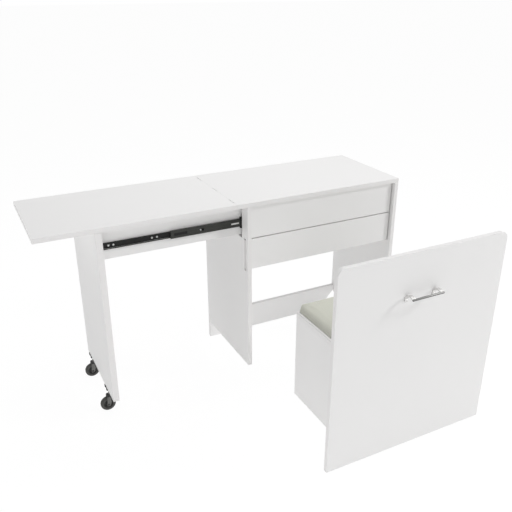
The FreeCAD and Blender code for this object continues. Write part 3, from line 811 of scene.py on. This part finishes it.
@dataclass
class Board:
    """One board: melamine faces, banded edges, every long edge eased."""

    node: str
    cut: Cut = Cut.PLAIN
    ease: float = 0.7
    round_top: float = 0.0
    let_out: float = 0.0

    def build(self) -> None:
        """Builds the board in place of its CAD node."""
        low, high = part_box(self.node)
        size = high - low
        thin = min(range(3), key=lambda number: size[number])
        if self.cut is Cut.SHAPED:
            form = Form.of_node(self.node)
            form.ease(form.edges(lambda edge: self.on_rim(edge, low, high)), self.ease)
            if self.let_out:
                self.meet(form, low, high)
        else:
            form = Form.block(low, high)
            if self.round_top:
                corners = [edge for edge in form.along(Axis(thin), size[thin] / 2 / MM)
                           if edge.verts[0].co.z > high.z - MM]
                form.ease(corners, self.round_top, 14)
            form.soften(self.ease)
        form.paint(1, lambda face: abs(face.normal[thin]) < 0.7)
        form.stand_in(self.node, "board", (FINISHES.board, FINISHES.band), "white_board")

    def meet(self, form: Form, low: Vector, high: Vector) -> None:
        """Lets the edge at the seam of the tops out, so that the seam is a hair line.

        Args:
            form: the board.
            low: the low corner of its box.
            high: the high corner of its box.
        """
        wall, way = (low.x, -1) if abs(low.x) < abs(high.x) else (high.x, 1)
        near = [vert for vert in form.bm.verts if abs(vert.co.x - wall) < 2 * self.ease * MM]
        bmesh.ops.translate(form.bm, verts=near, vec=(way * self.let_out * MM, 0, 0))

    @staticmethod
    def on_rim(edge: bmesh.types.BMEdge, low: Vector, high: Vector) -> bool:
        """Whether an edge is a square one on the twelve edges of the board's box."""
        walls = sum(all(abs(vert.co[number] - wall[number]) < 0.01 * MM for vert in edge.verts)
                    for number in range(3) for wall in (low, high))
        return walls == 2 and edge.calc_face_angle(0.0) > 1.2


@dataclass
class Boards:
    """A set of boards that are joined to each other, with the hidden joining pieces."""

    plain: Sequence[str]
    shaped: Sequence[str] = ()
    joints: dict[str, Finish] = field(default_factory=dict)
    ease: float = 0.7
    let_out: float = 0.0

    def build(self) -> None:
        """Builds the boards and dresses what joins them."""
        for node in self.plain:
            Board(node, ease=self.ease).build()
        for node in self.shaped:
            Board(node, Cut.SHAPED, self.ease, let_out=self.let_out).build()
        for node, finish in self.joints.items():
            dress_node(node, finish)


@dataclass
class Hinges:
    """The three hinges at the seam of the tops, with white knuckles that stand only a little over them."""

    nodes: Sequence[str] = ("hinge_plates_main", "hinge_plates_leaf")
    proud: float = 0.63
    bore: float = 1.5

    def build(self) -> None:
        """Builds the plates, with the knuckles' outsides pressed low and their bores left round."""
        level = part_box("main_top")[1].z
        axis = middle("hinge_pins").z
        for node in self.nodes:
            form = Form.of_node(node)
            over = [vert for vert in form.bm.verts
                    if vert.co.z > level and math.hypot(vert.co.x, vert.co.z - axis) > self.bore * MM]
            bmesh.ops.scale(form.bm, vec=(1, 1, self.proud), verts=over, space=shift(0, 0, -level))
            form.stand_in(node, "low", (FINISHES.enamel,), "zinc", smooth=30)


@dataclass
class Slide:
    """One telescopic slide: three rolled sections with painted highlights along their lips, and what is
    fitted to them.
    """

    place: Place
    roll: float = 0.9
    # how far in from the inner section's mouth and how high over its foot the painted highlight on the lower
    # flange reaches, in mm
    highlight_deep: float = 4.4
    highlight_high: float = 5.0
    lever_span: tuple[float, float] = (15.0, 59.0)
    lever_half: float = 4.2
    lever_deep: tuple[float, float] = (0.15, 1.05)
    bead_off: float = 9.6
    bead_half: float = 1.9
    bead_end: float = 2.0
    bead_deep: tuple[float, float] = (-0.15, 0.4)
    rivet_spot: float = 112.0
    stop_span: tuple[float, float] = (231.0, 261.0)
    stop_half: float = 2.7
    stop_deep: tuple[float, float] = (0.1, 1.0)
    bumper_long: float = 5.0
    bumper_web: float = 1.2
    bumper_lip: float = 5.5

    def node(self, part: str) -> str:
        """The name of a CAD node of this slide."""
        return f"slide_{part}_{self.place.value}"

    def section(self, part: str) -> None:
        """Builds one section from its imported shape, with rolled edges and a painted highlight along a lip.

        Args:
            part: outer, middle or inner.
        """
        node = self.node(part)
        low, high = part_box(node)
        mouth = self.place.mouth(low, high)
        form = Form.of_node(node)
        form.ease([edge for edge in form.along(Axis.X, 5) if Board.on_rim(edge, low, high)], self.roll)
        if part == "inner":
            # painted highlight: the lower flange's upper face, between the mouth and this plane, gets the
            # bright finish
            worn = mouth - self.highlight_deep * MM * self.place.sign
            bmesh.ops.bisect_plane(form.bm, geom=form.bm.verts[:] + form.bm.edges[:] + form.bm.faces[:],
                                   dist=0.001 * MM, plane_co=(0, worn, 0), plane_no=(0, 1, 0))
            form.paint(1, lambda face: face.normal.z > 0.9
                       and face.calc_center_median().z < low.z + self.highlight_high * MM
                       and (face.calc_center_median().y - worn) * self.place.sign > 0)
            # painted shade: the inner section takes the darker copy of the slide steel
            finishes = (FINISHES.inner, FINISHES.race)
        else:
            # painted highlight: the lips' edge faces at the mouth get the bright lip finish
            form.paint(1, lambda face: abs(face.calc_center_median().y - mouth) < 0.05 * MM
                       and abs(face.normal.y) > 0.9)
            finishes = (FINISHES.slide, FINISHES.lip)
        form.stand_in(node, "section", finishes, "black_slide")

    def on_web(self, span: Sequence[float], level: float, half: float, deep: Sequence[float]) -> Form:
        """A block at the web of the middle section, measured in mm.

        Args:
            span: where it begins and ends, from the section's low end.
            level: how far its middle is above the section's.
            half: half its height.
            deep: how far behind the web's face its two sides are.

        Returns:
            The block.
        """
        low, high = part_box(self.node("middle"))
        mid = (low.z + high.z) / 2 + level * MM
        return Form.between([low.x + end * MM for end in span],
                            [self.place.web(low, high) + side * MM * self.place.sign for side in deep],
                            (mid - half * MM, mid + half * MM))

    def lever(self) -> None:
        """Builds the release lever that lies flush in the middle section's long slot."""
        form = self.on_web(self.lever_span, 0, self.lever_half, self.lever_deep)
        form.ease(form.along(Axis.Y, 0.5), 2.0)
        form.soften(0.2, 2)
        form.piece(f"slide_lever_{self.place.value}", "slide_middles", (FINISHES.lever,), "black_slide")

    def dressings(self) -> None:
        """Builds what is pressed on to the middle section's web: two beads, a rivet and a bright stop."""
        low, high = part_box(self.node("middle"))
        every = Form()
        span = (self.bead_end, (high.x - low.x) / MM - self.bead_end)
        for side in (-1, 1):
            bead = self.on_web(span, side * self.bead_off, self.bead_half, self.bead_deep)
            every.add(bead.ease(bead.along(Axis.X, 5), 0.4))
        rivet = Form.turned([(0, -0.3), (1.6, -0.27), (2.3, -0.1), (2.5, 0.3), (2.5, 1.0), (0, 1.0)],
                            (0, 0, 0), Axis.Y, 20)
        spot = shift(low.x + self.rivet_spot * MM, self.place.web(low, high), (low.z + high.z) / 2)
        every.add(rivet.paint(1), spot @ self.place.turn)
        stop = self.on_web(self.stop_span, 0, self.stop_half, self.stop_deep)
        every.add(stop.soften(0.25, 2).paint(2))
        every.piece(f"slide_dressings_{self.place.value}", "slide_middles",
                    (FINISHES.slide, FINISHES.zinc, FINISHES.race), "black_slide", smooth=40)

    def bumper(self) -> None:
        """Builds the black end piece on the outer section's mouth."""
        low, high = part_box(self.node("outer"))
        web, mouth = self.place.web(low, high), self.place.mouth(low, high)
        span = (low.x - self.bumper_long * MM, low.x)
        lip = self.bumper_lip * MM
        form = Form.between(span, (web, web + self.bumper_web * MM * self.place.sign), (low.z, high.z))
        for heights in ((low.z, low.z + lip), (high.z - lip, high.z)):
            form.add(Form.between(span, (web, mouth), heights))
        form.soften(0.4, 2)
        form.piece(f"slide_bumper_{self.place.value}", BODY_OF[self.node("outer")], (FINISHES.lever,),
                   "black_slide")

    def build(self) -> None:
        """Builds the slide."""
        for part in ("outer", "middle", "inner"):
            self.section(part)
        self.lever()
        self.dressings()
        self.bumper()


@dataclass
class Caster:
    """One swivel caster: tyre, dished hub with ribs, pressed fork with its race, domed axle."""

    place: Place
    ribs: int = 5
    bend: float = 1.4
    stem_back: float = 11.0
    head_drop: float = 18.5
    crown_back: float = 3.0
    crown_thick: float = 5.5
    cheek_wide: float = 19.0
    cheek_thick: float = 2.5
    cheek_foot: float = 6.0

    def node(self, part: str) -> str:
        """The name of a CAD node of this caster."""
        return f"caster_{self.place.value}_{part}"

    @staticmethod
    def both_sides(outline: Sequence[tuple[float, float]]) -> list[tuple[float, float]]:
        """An outline's mirror image on the low side of the wheel, and then the outline back to its start."""
        return [(radius, -along) for radius, along in outline] + list(reversed(outline))

    def wheel(self) -> None:
        """Builds the tyre and the hub."""
        low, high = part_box(self.node("tyre"))
        centre = (low + high) / 2
        radius, half = (high.x - low.x) / 2 / MM, (high.y - low.y) / 2 / MM
        bore = (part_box(self.node("hub"))[1].x - centre.x) / MM
        tread = [(bore, half - 1), (radius - 4, half), (radius - 0.6, half - 3.4), (radius, 0.9),
                 (radius - 0.5, 0.4)]
        tyre = Form.turned(self.both_sides(tread), centre, Axis.Y, 56, closed=True)
        tyre.soften(0.7, 3, 25)
        tyre.stand_in(self.node("tyre"), "tread", (FINISHES.tyre,), "caster_tyre", smooth=40)
        deep = (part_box(self.node("hub"))[1].y - centre.y) / MM
        dish = [(3.15, deep), (7, deep), (8, deep - 2.6), (13.4, deep - 3.4), (14.4, deep), (bore, deep)]
        hub = Form.turned(self.both_sides(dish), centre, Axis.Y, 48, closed=True)
        hub.soften(0.4, 2, 35)
        rib = Form.block((7.2 * MM, (-deep + 0.8) * MM, -0.9 * MM), (14 * MM, (deep - 0.8) * MM, 0.9 * MM))
        rib.soften(0.3, 2)
        for number in range(self.ribs):
            turn = Matrix.Rotation(2 * math.pi * number / self.ribs, 4, "Y")
            hub.add(rib, Matrix.Translation(centre) @ turn)
        hub.stand_in(self.node("hub"), "dish", (FINISHES.hub,), "caster_hub", smooth=40)

    def fork(self) -> None:
        """Builds the fork: crown, two cheeks, swivel race and stem."""
        low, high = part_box(self.node("fork"))
        axle = middle(self.node("tyre"))
        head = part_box("leg_panel")[0].z - self.head_drop * MM
        past = axle.x - self.crown_back * MM
        crown = Form.block((past, low.y, head - self.crown_thick * MM), (high.x, high.y, head))
        crown.ease(crown.along(Axis.Z), 5.0, 5)
        crown.soften(self.bend, 3)
        crown.paint(1)
        top, knee = head - 4 * MM, head - 8 * MM
        front, foot = past + self.cheek_wide * MM, self.cheek_foot * MM
        for wall in (low.y, high.y - self.cheek_thick * MM):
            outline = [(past + 0.2 * MM, wall, top), (front, wall, top), (front, wall, knee),
                       (axle.x + foot, wall, low.z), (axle.x - foot, wall, low.z)]
            cheek = Form.plate(outline, (0, self.cheek_thick * MM, 0))
            cheek.ease([edge for edge in cheek.along(Axis.Y) if edge.verts[0].co.z < knee], 5.0, 6)
            cheek.soften(0.5, 2)
            crown.add(cheek)
        race = Form.turned([(0, 0), (12.2, 0), (13, 0.8), (13, 3.4), (11.6, 4.2), (11.6, 5.2), (13, 6),
                            (13, 8.6), (10, 11), (8, 11), (8, 15.6), (5, 15.7), (5, 40), (4.2, 40.4),
                            (0, 40.4)],
                           (high.x - self.stem_back * MM, axle.y, head), Axis.Z, 48)
        race.soften(0.35, 2, 30)
        crown.add(race)
        crown.stand_in(self.node("fork"), "pressing", (FINISHES.fork, FINISHES.bolt), "caster_steel",
                       smooth=35)

    def axle(self) -> None:
        """Builds the axle with its two domed heads."""
        low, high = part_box(self.node("axle"))
        half = (high.y - low.y) / 2 / MM
        dome = [(0, half), (2.6, half - 0.1), (4.5, half - 0.8), (5, half - 1.9), (3, half - 2)]
        pin = Form.turned(self.both_sides(dome), (low + high) / 2, Axis.Y, 36)
        pin.stand_in(self.node("axle"), "pin", (FINISHES.bolt,), "caster_steel", smooth=45)

    def build(self) -> None:
        """Builds the caster."""
        self.wheel()
        self.fork()
        self.axle()


@dataclass
class RollOutFrame:
    """The frame that carries the leaf: leg, aprons, caster strips and the fixings that show."""

    pan_spots: Sequence[float] = (25, 42, 176, 194, 354, 440)
    bolt_spots: Sequence[float] = (-46, -23, 23, 46)
    bolt_out: float = 8.5
    nut_round: float = 4.4
    nut_long: float = 11.5
    web: float = 1.2
    strip_half: float = 66.0
    strip_round: float = 5.0

    def pan_head(self) -> Form:
        """A pan-head screw that points along +Y from the origin."""
        return Form.turned([(0, -1.1), (1.3, -1.2), (1.5, -2.3), (2.4, -2.4), (3.5, -1.7), (4, -0.6), (4, 0),
                            (1.9, 0.1), (1.9, 10), (0, 11)], (0, 0, 0), Axis.Y, 24)

    def hex_bolt(self) -> Form:
        """A bolt with a long hexagon nut that hangs down from the origin and the bolt's end under it.

        Returns:
            The nut and the bolt.
        """
        radius, corners = self.nut_round * MM, [math.radians(60 * number) for number in range(6)]
        nut = Form.plate([(-radius * math.sin(corner), radius * math.cos(corner), 0) for corner in corners],
                         (0, 0, -self.nut_long * MM))
        end = (0.5 - self.nut_long) * MM
        nut.ease(nut.edges(lambda edge: max(vert.co.z for vert in edge.verts) < end), 0.6, 2)
        thread = [(2.5 - 0.35 * (number % 2), -14.2 + 0.4 * number) for number in range(8)]
        shank = Form.turned([(0, -14.5), (2.0, -14.5), *thread, (2.5, 14), (0, 15)], (0, 0, 0), Axis.Z, 20)
        return nut.add(shank).paint(1)

    def fixings(self) -> None:
        """Builds the slide screws and the caster bolts."""
        every = Form()
        head, bolt = self.pan_head(), self.hex_bolt()
        for place in Place:
            low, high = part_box(f"slide_inner_{place.value}")
            web = place.mouth(low, high) - self.web * MM * place.sign
            for along in self.pan_spots:
                every.add(head, shift(low.x + along * MM, web, (low.z + high.z) / 2) @ place.turn)
        low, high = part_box("caster_strips")
        out = (low.x + high.x) / 2 - self.bolt_out * MM
        for place in Place:
            centre = middle(f"caster_{place.value}_tyre")
            for along in self.bolt_spots:
                every.add(bolt, shift(out, centre.y + along * MM, low.z))
        every.piece("frame_fixings", BODY_OF["frame_screws"], (FINISHES.zinc, FINISHES.bolt), "zinc",
                    ["frame_screws"], smooth=35)

    def strips(self) -> None:
        """Builds the two steel strips that the casters are mounted through."""
        low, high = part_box("caster_strips")
        every = Form()
        for place in Place:
            centre, half = middle(f"caster_{place.value}_tyre").y, self.strip_half * MM
            strip = Form.block((low.x, centre - half, low.z), (high.x, centre + half, high.z))
            strip.ease(strip.along(Axis.Z), self.strip_round, 5)
            strip.soften(0.4, 2)
            every.add(strip)
        every.piece("caster_strip_pair", BODY_OF["caster_strips"], (FINISHES.bolt,), "caster_steel",
                    ["caster_strips"])

    def build(self) -> None:
        """Builds the frame."""
        Boards(("apron_front", "apron_rear", "apron_tie"), ("leg_panel",),
               {"frame_dowels": FINISHES.beech}).build()
        self.strips()
        self.fixings()


@dataclass
class Pull:
    """The seat's pull: a round bar on two arched straps with feet."""

    bar: float = 3.6
    drop: float = 137.0
    arch: float = 24.0
    dip: float = 19.0
    strap_wide: float = 13.0
    strap_thick: float = 5.0
    foot_thick: float = 4.0
    foot_half: float = 4.5
    screw_under: float = 0.5

    def strap(self, start: float, bar: Vector, wall: float) -> Form:
        """One strap, swept on its arch from the panel to the bar.

        Args:
            start: where along X the strap begins.
            bar: a point of the bar's axis.
            wall: the panel's face along Y.

        Returns:
            The strap with its foot.
        """
        radius = self.arch * MM
        chord = Vector((0, wall - bar.y, -self.dip * MM))
        half_way = Vector((0, bar.y, bar.z)) + chord / 2
        under = Vector((0, chord.z, -chord.y)).normalized()
        centre = half_way + under * math.sqrt(radius * radius - chord.length_squared / 4)
        swing = 2 * math.asin(chord.length / 2 / radius)
        half = self.strap_thick / 2 * MM
        form = Form()
        away = (Vector((0, bar.y, bar.z)) - centre).normalized()
        wide = self.strap_wide
        ends = [Vector((start + along * MM, 0, 0)) + centre + away * (radius + out)
                for along, out in ((0, -half), (wide, -half), (wide, half), (0, half))]
        face = form.bm.faces.new([form.bm.verts.new(point) for point in ends])
        bmesh.ops.spin(form.bm, geom=[face, *face.verts, *face.edges], cent=centre, axis=Axis.X.way,
                       angle=-swing, steps=14)
        form.tidy()
        form.soften(0.9, 3)
        level, thick, tall = bar.z - self.dip * MM, self.foot_thick * MM, self.foot_half * MM
        foot = Form.between((start, start + wide * MM), (wall - thick, wall), (level - tall, level + tall))
        rim = wall - thick + MM
        foot.ease(foot.edges(lambda edge: min(vert.co.y for vert in edge.verts) < rim), 1.2, 4)
        return form.add(foot)

    def build(self) -> None:
        """Builds the pull."""
        low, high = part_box("chair_pull")
        wall = high.y
        bar = Vector((low.x, low.y + self.bar * MM, 0))
        bar.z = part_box("chair_back_panel")[1].z - self.drop * MM
        long = (high.x - low.x) / MM
        thick = self.bar
        rod = Form.turned([(0, 0), (thick - 1.2, 0), (thick - 0.3, 0.4), (thick, 1.3), (thick, long - 1.3),
                           (thick - 0.3, long - 0.4), (thick - 1.2, long), (0, long)], bar, Axis.X, 32)
        rod.paint(1)
        for start in (low.x, high.x - self.strap_wide * MM):
            rod.add(self.strap(start, bar, wall))
        rod.stand_in("chair_pull", "bow", (FINISHES.strap, FINISHES.bar), "nickel", smooth=35)
        self.screws(wall)

    def screws(self, wall: float) -> None:
        """Builds the screws behind the pull, which end inside the panel.

        Args:
            wall: the panel's face along Y.
        """
        form = Form.of_node("pull_screws")
        tips = [vert for vert in form.bm.verts if vert.co.y < wall]
        out = wall - min(vert.co.y for vert in tips)
        bmesh.ops.translate(form.bm, verts=tips, vec=(0, out + self.screw_under * MM, 0))
        form.stand_in("pull_screws", "short", (FINISHES.zinc,), "zinc")


@dataclass
class Cushion:
    """The seat's pad: vinyl over foam, blown up by cloth simulation, pleated at its corners."""

    voxel: float = 5.0
    inset: float = 3.0
    base: float = 7.0
    lower: float = 1.5
    rise: float = 3.0
    pressure: float = 4.0
    frames: int = 20
    reach: float = 5.0
    quality: int = 6
    mass: float = 0.3
    pleat: float = 1.6
    folds: Sequence[float] = (20, 47, 72)
    fold_wide: float = 8.5
    round: float = 13.0
    roll: float = 10.0
    waist: float = 20.0

    def start(self) -> bpy.types.Object:
        """The pad before it swells: a soft block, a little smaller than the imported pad, in even cells.

        Returns:
            An object that isn't on a body yet.
        """
        low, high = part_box("seat_cushion")
        form = Form.block(low + Vector((self.inset, self.inset, self.base)) * MM,
                          high - Vector((self.inset, self.inset, self.lower)) * MM)
        form.ease(form.along(Axis.Z), self.round, 8)
        waist = low.z + self.waist * MM
        form.ease([edge for edge in form.sharp() if edge.verts[0].co.z > waist], self.roll, 6)
        pad = link("seat_cushion_pad", form.mesh("seat_cushion_pad"))
        cells = pad.modifiers.new("cells", "REMESH")
        cells.mode = "VOXEL"
        cells.voxel_size = self.voxel * MM
        self.settle(pad)
        return pad

    @staticmethod
    def settle(pad: bpy.types.Object) -> None:
        """Applies a piece's modifiers to its mesh.

        Args:
            pad: the piece.
        """
        now = bpy.context.evaluated_depsgraph_get()
        mesh = bpy.data.meshes.new_from_object(pad.evaluated_get(now))
        pad.modifiers.clear()
        pad.data = mesh

    def swell(self, pad: bpy.types.Object) -> None:
        """Blows the pad up as cloth, glued along its foot.

        Args:
            pad: the pad in even cells.
        """
        low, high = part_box("seat_cushion")
        before = [vert.co.copy() for vert in pad.data.vertices]
        glued = pad.vertex_groups.new(name="glued")
        foot = low.z + (self.base + 3) * MM
        glued.add([vert.index for vert in pad.data.vertices if vert.co.z < foot], 1.0, "REPLACE")
        cloth = pad.modifiers.new("cloth", "CLOTH")
        cloth.settings.vertex_group_mass = glued.name
        cloth.settings.quality = self.quality
        cloth.settings.mass = self.mass
        cloth.settings.use_pressure = True
        cloth.settings.uniform_pressure_force = self.pressure
        cloth.settings.effector_weights.gravity = 0.0
        cloth.point_cache.frame_start = 1
        cloth.point_cache.frame_end = self.frames
        for number in range(1, self.frames + 1):
            bpy.context.scene.frame_set(number)
        self.settle(pad)
        bpy.context.scene.frame_set(1)
        pad.vertex_groups.clear()
        cap = self.reach * MM
        for vert, old in zip(pad.data.vertices, before):
            move = vert.co - old
            if move.length > cap:
                vert.co = old + move * (cap / move.length)
            vert.co.x = min(max(vert.co.x, low.x), high.x)
            vert.co.y = min(max(vert.co.y, low.y), high.y)
            vert.co.z = min(max(vert.co.z, low.z + self.base * MM), high.z + self.rise * MM)

    def gather(self, pad: bpy.types.Object) -> None:
        """Draws in the pleats at the corners, deepest half way down the side.

        Args:
            pad: the swollen pad.
        """
        low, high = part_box("seat_cushion")
        for vert in pad.data.vertices:
            for x, sx in ((low.x + self.round * MM, -1), (high.x - self.round * MM, 1)):
                for y, sy in ((low.y + self.round * MM, -1), (high.y - self.round * MM, 1)):
                    out = Vector(((vert.co.x - x) * sx, (vert.co.y - y) * sy))
                    if out.x < 0 or out.y < 0 or out.length < 4 * MM:
                        continue
                    angle = math.degrees(math.atan2(out.y, out.x))
                    up = (vert.co.z - low.z) / (high.z - low.z)
                    deep = sum(math.exp(-((angle - fold) / self.fold_wide) ** 2) for fold in self.folds)
                    edge = min(1.0, out.length / (self.round * MM)) ** 2
                    draw = self.pleat * MM * deep * edge * math.sin(math.pi * min(1.0, 0.25 + up * 0.7))
                    vert.co.x -= sx * out.x / out.length * draw
                    vert.co.y -= sy * out.y / out.length * draw

    def board(self) -> None:
        """Builds the thin white board that the pad is glued to."""
        low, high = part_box("seat_cushion")
        form = Form.block(low, (high.x, high.y, low.z + self.base * MM))
        form.ease(form.along(Axis.Z), 6.0, 6)
        form.soften(1.6, 4)
        form.piece("seat_cushion_base", BODY_OF["seat_cushion"], (FINISHES.band,), "white_board")

    def build(self) -> None:
        """Builds the pad and its board."""
        pad = self.start()
        self.swell(pad)
        self.gather(pad)
        finer = pad.modifiers.new("finer", "SUBSURF")
        finer.levels = finer.render_levels = 1
        self.settle(pad)
        pad.data.name = "seat_cushion_pad"
        pad.data.shade_smooth()
        pad.data.materials.clear()
        pad.data.materials.append(FINISHES.vinyl.material())
        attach(pad, BODY_OF["seat_cushion"])
        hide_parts("seat_cushion")
        LOG.info("seat_cushion_pad rides on %s, %d faces", BODY_OF["seat_cushion"], len(pad.data.polygons))
        self.board()


# studio


@dataclass(frozen=True)
class Lamp:
    """A square soft lamp: where it hangs, the point it faces, its side in metres and its power in watts."""

    name: str
    at: Spot
    towards: Spot
    size: float
    power: float

    def hang(self) -> None:
        """Hangs the lamp in the scene."""
        light = bpy.data.lights.new(self.name, "AREA")
        light.size = self.size
        light.energy = self.power
        made = link(self.name, light)
        made.location = self.at
        made.rotation_euler = (Vector(self.towards) - Vector(self.at)).to_track_quat("-Z", "Y").to_euler()


@dataclass
class Studio:
    """Camera, pale floor, white surround and soft lamps."""

    eye: Spot = (-0.87716, -1.75643, 1.47249)
    tilt: float = 66.0
    heading: float = -27.0
    lens: float = 43.83
    ambient: float = 0.34
    floor_show: float = 0.93
    floor_lift: float = 0.4
    floor_half: float = 40.0
    lamps: Sequence[Lamp] = (
        Lamp("key_lamp", (3.77, -2.08, 3.07), (0.3, 0.0, 0.5), 0.9, 70.0),
        Lamp("top_lamp", (0.25, 0.4, 3.4), (0.1, 0.25, 0.7), 2.4, 41.0),
        Lamp("front_lamp", (-1.7, -3.7, 0.6), (0.2, 0.2, 0.3), 2.2, 17.0),
        Lamp("left_lamp", (-3.4, 0.4, 0.9), (0.0, 0.2, 0.4), 2.4, 8.0))

    def camera(self) -> None:
        """Puts the camera where the photograph was taken from."""
        lens = bpy.data.cameras.new("view")
        lens.lens = self.lens
        lens.sensor_width = 36.0
        made = link("view", lens)
        made.location = self.eye
        made.rotation_euler = (math.radians(self.tilt), 0.0, math.radians(self.heading))
        bpy.context.scene.camera = made

    def seen(self, graph: Graph) -> Wire:
        """Tells the rays that show the background from those that light the desk.

        Args:
            graph: the graph to add the test to.

        Returns:
            1 for rays from the camera, mirrored or through glass, and 0 for others.
        """
        path = graph.node("ShaderNodeLightPath")
        direct = path["Is Camera Ray"] + path["Is Glossy Ray"]
        return graph.node("ShaderNodeMath", {"operation": "ADD", "use_clamp": True},
                          {0: direct, 1: path["Is Transmission Ray"]})["Value"]

    def floor(self) -> None:
        """Lays the floor, which shows near white, lifts the undersides and still takes the shadow."""
        form = Form()
        bmesh.ops.create_grid(form.bm, x_segments=1, y_segments=1, size=self.floor_half)
        mesh = form.mesh("floor")
        paper = bpy.data.materials.new("floor_paper")
        paper.use_nodes = True
        graph = Graph(paper.node_tree)
        matt = graph.node("ShaderNodeBsdfDiffuse", None, {"Color": (0.9, 0.9, 0.9, 1.0)})["BSDF"]
        lift, white = (graph.node("ShaderNodeEmission", None, {"Color": WHITE, "Strength": strength})[0]
                       for strength in (self.floor_lift, 1.0))
        lit = graph.node("ShaderNodeAddShader", None, {0: matt, 1: lift})["Shader"]
        share = self.seen(graph) * self.floor_show
        shown = graph.node("ShaderNodeMixShader", None, {0: share, 1: lit, 2: white})
        graph.node("ShaderNodeOutputMaterial", None, {"Surface": shown["Shader"]})
        mesh.materials.append(paper)
        link("floor", mesh)

    def surround(self) -> None:
        """Makes the world white to look at and a plain soft light on the desk."""
        world = bpy.data.worlds.new("surround")
        bpy.context.scene.world = world
        world.use_nodes = True
        graph = Graph(world.node_tree)
        light, white = (graph.node("ShaderNodeBackground", None, {"Color": WHITE, "Strength": strength})[0]
                        for strength in (self.ambient, 1.0))
        both = graph.node("ShaderNodeMixShader", None, {0: self.seen(graph), 1: light, 2: white})
        graph.node("ShaderNodeOutputWorld", None, {"Surface": both["Shader"]})

    def build(self) -> None:
        """Sets the studio up."""
        self.camera()
        self.floor()
        self.surround()
        for lamp in self.lamps:
            lamp.hang()
        bpy.context.scene.view_settings.view_transform = "Standard"


def zinc(*nodes: str) -> dict[str, Finish]:
    """The same zinc finish for each of some nodes."""
    return dict.fromkeys(nodes, FINISHES.zinc)


def build_tops() -> None:
    """Builds the fixed top, the leaf and the hinges between them."""
    Boards((), ("main_top", "leaf_top"),
           {"hinge_pins": FINISHES.enamel, **zinc("hinge_screws_main", "hinge_screws_leaf")},
           ease=0.2, let_out=0.17).build()
    Hinges().build()


def build_carcass() -> None:
    """Builds the cabinet with its drawer."""
    Boards(("back_rail_upper", "fascia", "slide_support_rail", "compartment_floor"),
           ("left_side_panel", "right_side_panel", "back_rail_lower"),
           {**zinc("carcass_screws", "slide_screws", "top_angles", "angle_screws"),
            "floor_dowels": FINISHES.beech}).build()
    Boards(("drawer_front", "drawer_side_left", "drawer_side_right", "drawer_back", "drawer_bottom"), (),
           zinc("drawer_runners_fixed", "drawer_runners_moving", "runner_screws", "drawer_screws")).build()


def build_seat() -> None:
    """Builds the seat with its cushion and pull."""
    Board("chair_back_panel", round_top=26.0).build()
    Boards(("seat_side_left", "seat_side_right", "seat_far_board", "seat_board"), (),
           {"seat_dowels": FINISHES.beech, **zinc("seat_angles", "seat_angle_screws")}).build()
    Cushion().build()
    Pull().build()


def main() -> None:
    """Builds the desk, then the studio."""
    logging.basicConfig(level=logging.INFO, format="%(message)s")
    build_tops()
    build_carcass()
    RollOutFrame().build()
    for place in Place:
        Slide(place).build()
        Caster(place).build()
    build_seat()
    Studio().build()


if __name__ == "__main__":
    main()
